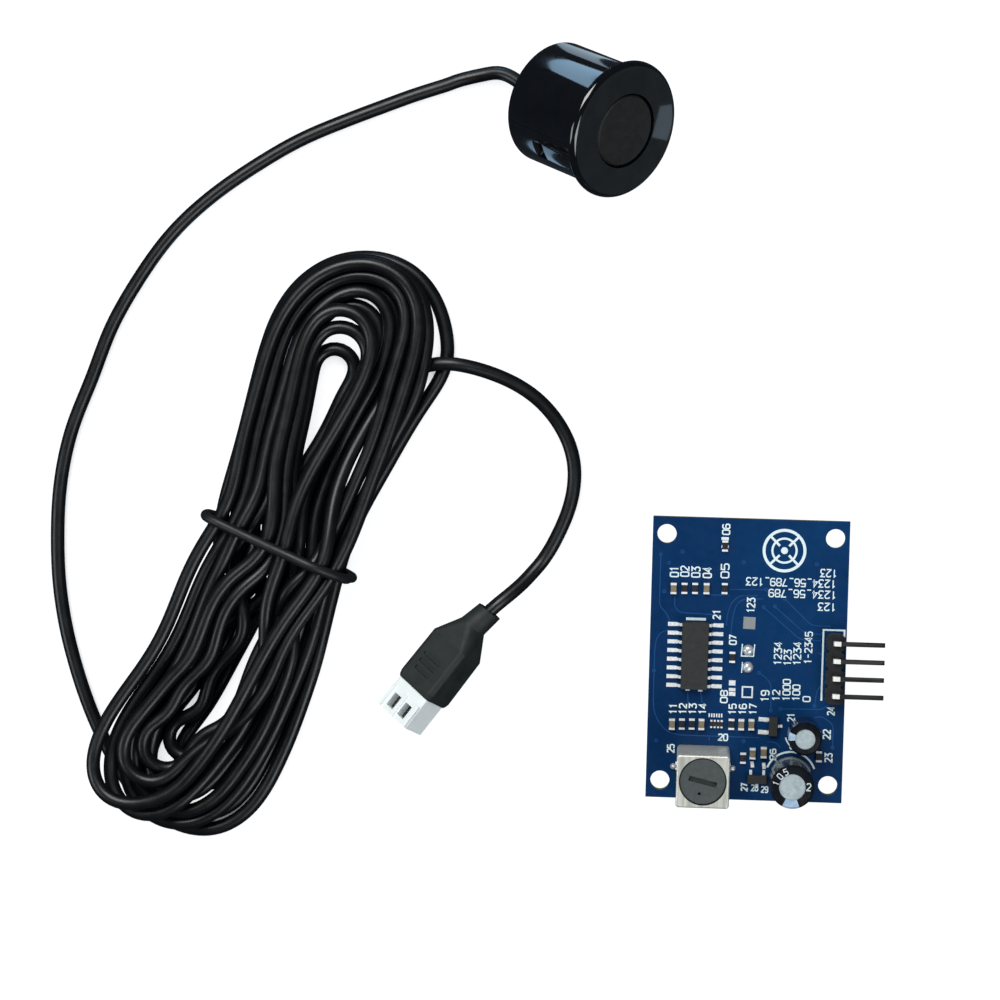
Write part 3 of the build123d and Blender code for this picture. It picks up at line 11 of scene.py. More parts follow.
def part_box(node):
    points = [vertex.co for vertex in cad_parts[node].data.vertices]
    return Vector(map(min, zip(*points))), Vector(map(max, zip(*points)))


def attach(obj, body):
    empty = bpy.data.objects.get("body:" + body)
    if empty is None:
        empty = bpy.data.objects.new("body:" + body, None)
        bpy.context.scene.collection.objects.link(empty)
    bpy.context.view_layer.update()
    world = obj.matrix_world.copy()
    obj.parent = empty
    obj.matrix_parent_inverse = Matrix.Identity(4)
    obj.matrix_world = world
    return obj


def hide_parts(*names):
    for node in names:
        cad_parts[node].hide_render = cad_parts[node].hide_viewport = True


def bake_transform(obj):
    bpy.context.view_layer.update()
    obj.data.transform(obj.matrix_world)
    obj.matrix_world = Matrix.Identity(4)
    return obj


MM = 0.001  # metres in a millimetre

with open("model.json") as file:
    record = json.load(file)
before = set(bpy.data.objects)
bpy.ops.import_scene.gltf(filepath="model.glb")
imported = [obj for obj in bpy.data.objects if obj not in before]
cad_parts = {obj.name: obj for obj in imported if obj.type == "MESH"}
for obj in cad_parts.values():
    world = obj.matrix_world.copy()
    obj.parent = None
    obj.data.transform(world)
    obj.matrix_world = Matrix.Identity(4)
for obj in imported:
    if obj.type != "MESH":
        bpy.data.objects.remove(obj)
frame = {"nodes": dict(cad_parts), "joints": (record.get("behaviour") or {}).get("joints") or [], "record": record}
NODES = frame["nodes"]
JOINTS = {joint["name"]: joint for joint in frame["joints"]}


def axis_of(node):
    """Middle of a CAD piece seen from above, in metres."""
    low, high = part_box(node)
    return (low.x + high.x) / 2, (low.y + high.y) / 2


# Places taken from the CAD pieces, in metres
BOARD_X, BOARD_Y = axis_of("circuit_board")
BOARD_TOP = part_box("circuit_board")[1].z
BIG_CAN, SMALL_CAN = axis_of("big_capacitor_can"), axis_of("small_capacitor_can")
probe_mount = next(m for m in frame["record"]["mounts"] if m["name"] == "probe_body")
PROBE_FACE = [-float(v) for v in probe_mount["axis"]]  # direction the probe's face looks


# ================================================================ material tools
def srgb(*levels):
    """sRGB 0-255 to scene-linear, with full alpha."""
    def linear(level):
        c = level / 255.0
        return c / 12.92 if c <= 0.04045 else ((c + 0.055) / 1.055) ** 2.4
    return (*map(linear, levels), 1.0)


def scaled(colour, factor):
    return (*(c * factor for c in colour[:3]), 1.0)


def fresh_tree(block):
    """The emptied node tree of a material or world."""
    block.use_nodes = True
    block.node_tree.nodes.clear()
    return block.node_tree


def add_node(tree, kind, values=None):
    node = tree.nodes.new(kind)
    for key, value in (values or {}).items():
        node.inputs[key].default_value = value
    return node


def mix_shaders(tree, factor, first, second):
    node = tree.nodes.new("ShaderNodeMixShader")
    for i, output in enumerate((factor, first, second)):
        tree.links.new(output, node.inputs[i])
    return node.outputs[0]


class Mat:
    """A principled material whose colour, roughness and bump are driven by noise."""

    def __init__(self, name):
        self.material = bpy.data.materials.new(name)
        self.tree = fresh_tree(self.material)
        out = self.node("ShaderNodeOutputMaterial")
        self.bsdf = self.node("ShaderNodeBsdfPrincipled")
        self.plug(out.inputs[0], self.bsdf.outputs[0])
        self.place = self.node("ShaderNodeTexCoord").outputs["Object"]

    def node(self, kind, values=None):
        return add_node(self.tree, kind, values)

    def plug(self, socket, value):
        """Link an output to the socket, or set a plain value on it."""
        if hasattr(value, "is_output"):
            self.tree.links.new(value, socket)
        else:
            socket.default_value = value

    def set(self, key, value):
        self.plug(self.bsdf.inputs[key], value)

    def normal(self):
        return self.node("ShaderNodeNewGeometry").outputs["Normal"]

    def noise(self, scale, detail=3.0, rough=0.55, stretch=None):
        node = self.node("ShaderNodeTexNoise",
                         {"Scale": scale, "Detail": detail, "Roughness": rough})
        source = self.place
        if stretch:
            mapping = self.node("ShaderNodeMapping", {"Scale": stretch})
            self.plug(mapping.inputs["Vector"], source)
            source = mapping.outputs[0]
        self.plug(node.inputs["Vector"], source)
        return node.outputs["Fac"]

    def ramp(self, factor, stops):
        node = self.node("ShaderNodeValToRGB")
        elements = node.color_ramp.elements
        while len(elements) < len(stops):
            elements.new(0.5)
        for element, (position, colour) in zip(elements, stops):
            element.position = position
            element.color = colour
        self.plug(node.inputs[0], factor)
        return node.outputs[0]

    def two_tone(self, factor, low, high):
        """Ramp over the middle of the noise, where most of its values lie."""
        return self.ramp(factor, [(0.3, low), (0.7, high)])

    def remap(self, factor, to, over=(0.3, 0.7)):
        node = self.node("ShaderNodeMapRange", {"From Min": over[0], "From Max": over[1],
                                                "To Min": to[0], "To Max": to[1]})
        self.plug(node.inputs[0], factor)
        return node.outputs[0]

    def mix(self, factor, first, second):
        node = self.node("ShaderNodeMix")
        node.data_type = "RGBA"
        for i, value in ((0, factor), (6, first), (7, second)):
            self.plug(node.inputs[i], value)
        return node.outputs[2]

    def math(self, operation, first, second=None):
        node = self.node("ShaderNodeMath")
        node.operation = operation
        self.plug(node.inputs[0], first)
        if second is not None:
            self.plug(node.inputs[1], second)
        return node.outputs[0]

    def xyz(self, vector):
        node = self.node("ShaderNodeSeparateXYZ")
        self.plug(node.inputs[0], vector)
        return node.outputs[0], node.outputs[1], node.outputs[2]

    def bump(self, height, distance, strength=1.0):
        """Bump with its distance in metres."""
        node = self.node("ShaderNodeBump", {"Strength": strength, "Distance": distance})
        self.plug(node.inputs["Height"], height)
        self.set("Normal", node.outputs[0])


# ================================================================ the materials
def plain(name, colour, rough=0.45, metal=0.0, vary=0.18, scale=900, bump=0.0,
          bump_scale=4000, spec=0.5):
    """One mottled sRGB colour; vary is how far it strays, bump a depth in metres."""
    rough_spread = 0.08
    colour = srgb(*colour)
    m = Mat(name)
    mottle = m.noise(scale=scale, detail=4)
    m.set("Base Color", m.two_tone(mottle, scaled(colour, 1 - vary), scaled(colour, 1 + vary)))
    m.set("Roughness", m.remap(m.noise(scale=scale * 2.3),
                               to=(rough - rough_spread, rough + rough_spread)))
    m.set("Metallic", metal)
    m.set("Specular IOR Level", spec)
    m.set("Coat Roughness", 0.05)
    if bump:
        m.bump(m.noise(scale=bump_scale, detail=4), distance=bump)
    return m.material


def brushed(name, low, high, rough, stretch, scale=2500, metal=1.0):
    """Metal between two sRGB tones, with stretched grain and broad darker stains."""
    m = Mat(name)
    grain = m.noise(scale=scale, detail=4, rough=0.6, stretch=stretch)
    stain = m.remap(m.noise(scale=220), to=(0.0, 0.35), over=(0.5, 0.8))
    tone = m.two_tone(grain, srgb(*low), srgb(*high))
    m.set("Base Color", m.mix(stain, tone, scaled(srgb(*low), 0.72)))
    m.set("Metallic", metal)
    m.set("Roughness", m.remap(grain, to=rough))
    m.bump(grain, distance=0.000006, strength=0.6)
    return m.material


def mask_material(name):
    """Blue solder mask on the flat faces, bare laminate on the cut edges."""
    m = Mat(name)
    blue = m.ramp(m.noise(scale=28),
                  [(0.3, srgb(0, 33, 69)), (0.55, srgb(0, 41, 83)), (0.75, srgb(2, 52, 98))])
    speckle = m.remap(m.noise(scale=1500), to=(0.0, 0.1))
    blue = m.mix(speckle, blue, srgb(8, 66, 118))
    fibre = m.noise(scale=1800, detail=4, stretch=(1, 1, 6))
    edge = m.two_tone(fibre, srgb(92, 96, 74), srgb(150, 148, 112))
    steepest_flat = 0.7  # vertical part of the normal above which a face is flat
    _, _, upward = m.xyz(m.normal())
    flat = m.math("GREATER_THAN", m.math("ABSOLUTE", upward), steepest_flat)
    m.set("Base Color", m.mix(flat, edge, blue))
    m.set("Roughness", m.remap(m.noise(scale=700), to=(0.3, 0.42)))
    m.set("Specular IOR Level", 0.16)
    weave = m.noise(scale=1400, detail=2, stretch=(1.0, 0.35, 1.0))
    m.bump(weave, distance=0.00001, strength=0.5)
    return m.material


def gloss_material(name):
    """Gloss black lacquer with faint orange peel; the probe's face is painted paler, a painted sheen for the soft
    light it catches.
    """
    m = Mat(name)
    mottle = m.noise(scale=240, detail=4)
    dust = m.noise(scale=2600, detail=5, rough=0.7)
    m.set("Roughness", m.remap(dust, to=(0.06, 0.1)))
    m.set("Specular IOR Level", 0.6)
    m.set("Coat Weight", 0.6)
    m.set("Coat Roughness", 0.04)
    # dot product of the normal with the direction of the face
    normal = m.normal()
    parts = [m.math("MULTIPLY", m.xyz(normal)[i], PROBE_FACE[i]) for i in range(3)]
    facing = m.math("ADD", m.math("ADD", parts[0], parts[1]), parts[2])
    least_facing = 0.93
    face = m.math("GREATER_THAN", facing, least_facing)
    lacquer = m.two_tone(mottle, srgb(7, 8, 11), srgb(13, 15, 19))
    # painted sheen: the face gets a paler colour than the lacquer, standing in for the soft light it catches
    painted_face_sheen = m.two_tone(mottle, srgb(30, 33, 34), srgb(38, 41, 42))
    m.set("Base Color", m.mix(face, lacquer, painted_face_sheen))
    m.bump(m.noise(scale=520, detail=2), distance=0.00001, strength=0.25)
    return m.material


def cable_material(name, low, high, rough):
    """Black PVC jacket: soft sheen, slight waviness, faint scuffs."""
    m = Mat(name)
    tone = m.two_tone(m.noise(scale=160, detail=4), srgb(*low), srgb(*high))
    scuff = m.noise(scale=900, detail=6, rough=0.7, stretch=(1, 1, 1))
    scuff = m.remap(scuff, to=(0.0, 0.3), over=(0.64, 0.84))
    m.set("Base Color", m.mix(scuff, tone, srgb(38, 43, 48)))
    m.set("Roughness", m.remap(m.noise(scale=420, detail=4), to=rough))
    m.set("Specular IOR Level", 0.5)
    m.bump(m.noise(scale=700), distance=0.00002, strength=0.25)
    return m.material


def sleeve_material(name, stripes):
    """Black shrink sleeve with a pale stripe down one side of each can.

    Each stripe is the can's x and y in metres, its bearing and its half width in degrees.
    """
    reach = 0.0034  # metres from the can's axis within which the stripe shows
    m = Mat(name)
    black = m.two_tone(m.noise(scale=500), srgb(9, 11, 16), srgb(20, 24, 31))
    pale = m.two_tone(m.noise(scale=900), srgb(150, 178, 205), srgb(190, 212, 232))
    x, y, _ = m.xyz(m.place)

    def stripe(can_x, can_y, bearing_deg, half_deg):
        from_x = m.math("SUBTRACT", x, can_x)
        from_y = m.math("SUBTRACT", y, can_y)
        distance = m.math("SQRT", m.math("ADD", m.math("MULTIPLY", from_x, from_x),
                                         m.math("MULTIPLY", from_y, from_y)))
        near = m.math("LESS_THAN", distance, reach)
        bearing = math.radians(bearing_deg)
        along = m.math("ADD", m.math("MULTIPLY", from_x, math.cos(bearing)),
                       m.math("MULTIPLY", from_y, math.sin(bearing)))
        cosine = m.math("DIVIDE", along, m.math("MAXIMUM", distance, 1e-6))
        inside = m.math("GREATER_THAN", cosine, math.cos(math.radians(half_deg)))
        return m.math("MULTIPLY", near, inside)

    striped = m.math("MAXIMUM", *[stripe(*entry) for entry in stripes])
    m.set("Base Color", m.mix(striped, black, pale))
    m.set("Roughness", m.remap(m.noise(scale=800), to=(0.16, 0.28)))
    m.set("Specular IOR Level", 0.55)
    m.set("Coat Weight", 0.3)
    m.bump(m.noise(scale=600), distance=0.00002, strength=0.4)
    return m.material


def overmould_material(name):
    """Grained dark moulding."""
    m = Mat(name)
    m.set("Base Color", m.two_tone(m.noise(scale=380, detail=4),
                                   srgb(27, 32, 32), srgb(37, 43, 43)))
    m.set("Roughness", m.remap(m.noise(scale=1200, detail=4), to=(0.5, 0.64)))
    m.set("Specular IOR Level", 0.4)
    m.bump(m.noise(scale=5200, detail=4, rough=0.65), distance=0.00002, strength=0.9)
    return m.material


def header_pin_material(name):
    """Pins painted near-white up to a line near the board's +X edge, a painted highlight for the shine of their
    bends and joints, and dull metal past it.
    """
    # the pins are painted near-white, a painted highlight, up to this line
    painted_shine_end = BOARD_X + 13.35 * MM
    m = Mat(name)
    x, _, _ = m.xyz(m.place)
    grain = m.noise(scale=2500, rough=0.6, stretch=(0.06, 1, 1))
    near = m.math("LESS_THAN", x, painted_shine_end)
    dull = m.two_tone(grain, srgb(60, 60, 60), srgb(104, 103, 100))
    m.set("Base Color", m.mix(near, dull, srgb(246, 246, 240)))
    # metallic 0.9 on the dull part, 0.1 on the near-white painted highlight
    m.set("Metallic", m.math("SUBTRACT", 0.9, m.math("MULTIPLY", near, 0.8)))
    m.set("Roughness", m.remap(grain, to=(0.24, 0.38)))
    return m.material


# Material slot of the record, its builder and the builder's arguments
FINISHES = [
    ("solder_mask", mask_material, dict()),
    ("header_plastic", plain, dict(colour=(20, 22, 25), rough=0.5, vary=0.25, scale=700,
                                   bump=0.00001, bump_scale=3500, spec=0.4)),
    ("pin_metal", brushed, dict(low=(96, 94, 90), high=(150, 148, 142), rough=(0.22, 0.36),
                                stretch=(0.06, 1, 1))),
    ("epoxy", plain, dict(colour=(44, 46, 46), rough=0.62, vary=0.16, scale=1400,
                          bump=0.000012, bump_scale=5200, spec=0.3)),
    ("tinned", brushed, dict(low=(214, 218, 220), high=(250, 252, 252), rough=(0.45, 0.6),
                             stretch=(1, 1, 1), scale=3000, metal=0.25)),
    ("resistor_glaze", plain, dict(colour=(44, 42, 48), rough=0.3, vary=0.3, scale=2500)),
    ("capacitor_ceramic", plain, dict(colour=(128, 116, 92), rough=0.42, vary=0.22,
                                      scale=2500, bump=0.000006, bump_scale=6000)),
    ("white_nylon", plain, dict(colour=(240, 246, 246), rough=0.34, vary=0.03, scale=600,
                                bump=0.000012, bump_scale=2200)),
    ("can_metal", brushed, dict(low=(200, 200, 190), high=(238, 238, 228), rough=(0.32, 0.5),
                                stretch=(1, 0.08, 1), scale=1800, metal=0.55)),
    ("phenolic", plain, dict(colour=(62, 44, 30), rough=0.55, vary=0.2, scale=1200)),
    ("ferrite", plain, dict(colour=(70, 76, 76), rough=0.55, vary=0.14, scale=1500,
                            bump=0.000022, bump_scale=3800, spec=0.35)),
    ("magnet_wire", brushed, dict(low=(150, 82, 44), high=(206, 124, 70), rough=(0.25, 0.4),
                                  stretch=(1, 1, 9), scale=2600, metal=0.9)),
    ("cap_aluminium", brushed, dict(low=(158, 172, 176), high=(186, 200, 203),
                                    rough=(0.5, 0.65), stretch=(1, 1, 1), scale=1500,
                                    metal=0.3)),
    ("cap_sleeve", sleeve_material, dict(stripes=[(*BIG_CAN, -93, 24),
                                                  (*SMALL_CAN, 172, 15)])),
    ("bung_rubber", plain, dict(colour=(24, 24, 25), rough=0.8, vary=0.2, scale=1400)),
    ("foil_roll", brushed, dict(low=(180, 180, 176), high=(222, 222, 218), rough=(0.4, 0.55),
                                stretch=(1, 1, 8), scale=1800, metal=0.8)),
    ("solder", brushed, dict(low=(198, 202, 206), high=(240, 243, 245), rough=(0.22, 0.36),
                             stretch=(1, 1, 1), scale=1600, metal=0.6)),
    ("probe_gloss", gloss_material, dict()),
    ("silicone", plain, dict(colour=(20, 22, 25), rough=0.62, vary=0.2,
                             bump=0.00001, bump_scale=3000)),
    ("cup_paint", plain, dict(colour=(34, 36, 37), rough=0.5, vary=0.2, scale=700,
                              bump=0.000012, bump_scale=4200, spec=0.45)),
    ("piezo", plain, dict(colour=(214, 205, 182), rough=0.4, vary=0.08, scale=1600)),
    ("damping_felt", plain, dict(colour=(150, 146, 138), rough=0.9, vary=0.25, scale=2200,
                                 bump=0.00004, bump_scale=3000)),
    ("wire_red", plain, dict(colour=(150, 22, 22), rough=0.4, vary=0.12, scale=800)),
    ("wire_black", plain, dict(colour=(18, 18, 20), rough=0.4, vary=0.2, scale=800)),
    ("potting", plain, dict(colour=(26, 27, 29), rough=0.5, vary=0.2, scale=400,
                            bump=0.00004, bump_scale=700)),
    ("cable_pvc", cable_material, dict(low=(7, 9, 11), high=(12, 15, 18),
                                       rough=(0.3, 0.42))),
    ("tie_pvc", cable_material, dict(low=(14, 16, 18), high=(24, 27, 30),
                                     rough=(0.4, 0.52))),
    ("overmould", overmould_material, dict()),
]
MATS = {name: make(name, **look) for name, make, look in FINISHES}

# Pieces with a finish of their own, whatever slot the record gives them
OWN = {
    "header_pins": header_pin_material("header_pin_metal_painted_shine"),
    "socket_pins": plain("socket_pin_tips", colour=(232, 232, 226), rough=0.3, vary=0.05,
                         scale=2000, metal=0.2),
}

# ================================================================ finishes on the CAD pieces
SLOT_OF = {part["node"]: part.get("material_slot")
           for part in frame["record"].get("subparts", []) if "node" in part}
# Width of the softened edge on each moulded or pressed piece
EDGE_WIDTH = {
    "header_body": 0.09, "controller_chip_body": 0.07, "transistor_bodies": 0.05,
    "socket_shell": 0.1, "transformer_can": 0.16, "plug_housing": 0.14,
    "chip_resistors": 0.05, "chip_capacitors": 0.06, "chip_end_caps": 0.04,
    "header_pins": 0.06, "socket_pins": 0.05, "controller_chip_leads": 0.03,
    "transistor_leads": 0.02, "tuning_core": 0.08, "threaded_sleeve": 0.06,
}
for name, obj in NODES.items():
    mat = OWN.get(name) or MATS.get(SLOT_OF.get(name)) or MATS["epoxy"]
    slots = obj.data.materials
    if slots:
        for i in range(len(slots)):
            slots[i] = mat
    else:
        slots.append(mat)
    if name in EDGE_WIDTH:
        bevel = obj.modifiers.new("edge", "BEVEL")
        bevel.width = EDGE_WIDTH[name] * MM
        bevel.segments = 2
        bevel.limit_method = "ANGLE"
        bevel.angle_limit = math.radians(40)
        bevel.use_clamp_overlap = True
        bevel.harden_normals = False


# ================================================================ mesh tools
def new_object(name, verts, faces, mat, sharp=None):
    """An object from vertices in metres.

    With a sharp angle in degrees its faces are turned outward and shaded smooth up to that
    angle; without one they stay flat and as given.
    """
    mesh = bpy.data.meshes.new(name)
    mesh.from_pydata([tuple(v) for v in verts], [], [tuple(f) for f in faces])
    mesh.update()
    if sharp:
        work = bmesh.new()
        work.from_mesh(mesh)
        bmesh.ops.recalc_face_normals(work, faces=work.faces)
        work.to_mesh(mesh)
        work.free()
    mesh.polygons.foreach_set("use_smooth", [bool(sharp)] * len(mesh.polygons))
    if sharp:
        mesh.set_sharp_from_angle(angle=math.radians(sharp))
    mesh.materials.append(mat)
    obj = bpy.data.objects.new(name, mesh)
    bpy.context.scene.collection.objects.link(obj)
    return obj


def unit(vectors):
    return vectors / np.linalg.norm(vectors, axis=-1, keepdims=True)


def travelled(points):
    """Distance along the points at each of them."""
    return np.concatenate([[0], np.cumsum(np.linalg.norm(np.diff(points, axis=0), axis=1))])


def smooth_line(points, step, closed=False):
    """Points every step along the cubic spline through the given ones."""
    knots = np.array(points, float)
    if closed:
        knots = np.vstack([knots, knots[:1]])
    at = travelled(knots)
    last = len(knots) - 1
    gap = np.diff(at)
    # solve for the second derivative at each knot
    matrix = np.zeros((last + 1, last + 1))
    target = np.zeros((last + 1, 3))
    for i in range(1, last):
        matrix[i, i - 1:i + 2] = gap[i - 1], 2 * (gap[i - 1] + gap[i]), gap[i]
        target[i] = 6 * ((knots[i + 1] - knots[i]) / gap[i]
                         - (knots[i] - knots[i - 1]) / gap[i - 1])
    if closed:
        matrix[0, 0], matrix[0, last] = 1, -1
        matrix[last, 0], matrix[last, 1] = 2 * gap[0], gap[0]
        matrix[last, last - 1], matrix[last, last] = gap[-1], 2 * gap[-1]
        target[last] = 6 * ((knots[1] - knots[0]) / gap[0]
                            - (knots[last] - knots[last - 1]) / gap[-1])
    else:
        matrix[0, 0] = matrix[last, last] = 1
    bend = np.linalg.solve(matrix, target)

    where = np.linspace(0, at[-1], int(at[-1] / (step * 0.1)) + 2)
    i = np.clip(np.searchsorted(at, where, side="right") - 1, 0, last - 1)
    span = gap[i][:, None]
    ahead = (at[i + 1] - where)[:, None]
    behind = (where - at[i])[:, None]
    fine = ((bend[i] * ahead ** 3 + bend[i + 1] * behind ** 3) / (6 * span)
            + (knots[i] / span - bend[i] * span / 6) * ahead
            + (knots[i + 1] / span - bend[i + 1] * span / 6) * behind)

    # even stations along the finely sampled curve
    run = travelled(fine)
    count = max(2, int(round(run[-1] / step)) + 1)
    wanted = np.linspace(0, run[-1], count)
    return np.stack([np.interp(wanted, run, fine[:, axis]) for axis in range(3)], axis=1)


def carried_frames(points, closed=False):
    """Unit side and up vectors carried along the line without twist."""
    if closed:
        tangent = unit(np.roll(points, -1, 0) - np.roll(points, 1, 0))
    else:
        tangent = unit(np.gradient(points, axis=0))
    side = np.zeros_like(points)
    vector = unit(np.cross(tangent[0], (0, 0, 1.0)))
    for i, ahead in enumerate(tangent):
        vector = unit(vector - ahead * np.dot(vector, ahead))
        side[i] = vector
    up = np.cross(side, tangent)
    if closed:
        # spread the leftover twist so that the ring closes
        vector = unit(side[-1] - tangent[0] * np.dot(side[-1], tangent[0]))
        twist = math.atan2(np.dot(vector, up[0]), np.dot(vector, side[0]))
        turn = -twist * np.arange(len(points)) / len(points)
        cos, sin = np.cos(turn)[:, None], np.sin(turn)[:, None]
        side, up = side * cos + up * sin, up * cos - side * sin
    return side, up


def band(first, second, sides):
    """Quads between two rings of vertices that start at the given indices."""
    return [(first + k, first + (k + 1) % sides, second + (k + 1) % sides, second + k)
            for k in range(sides)]


def tube(name, points, side, up, radius, sides, mat, closed=False):
    """A round tube along the points, with flat ends unless it is a closed ring."""
    angle = np.arange(sides) * 2 * math.pi / sides
    ring = (np.cos(angle)[None, :, None] * side[:, None, :]
            + np.sin(angle)[None, :, None] * up[:, None, :])
    verts = points[:, None, :] * MM + ring * radius * MM
    count = len(points)
    faces = []
    for i in range(count if closed else count - 1):
        faces += band(i * sides, (i + 1) % count * sides, sides)
    if not closed:
        faces.append(tuple(range(sides))[::-1])
        faces.append(tuple((count - 1) * sides + k for k in range(sides)))
    return new_object(name, verts.reshape(-1, 3), faces, mat, sharp=50)


# ================================================================ the cable
def stations(text):
    """Comma-separated x y z stations, in millimetres, as an array of rows."""
    return np.array([entry.split() for entry in text.split(",")], float)


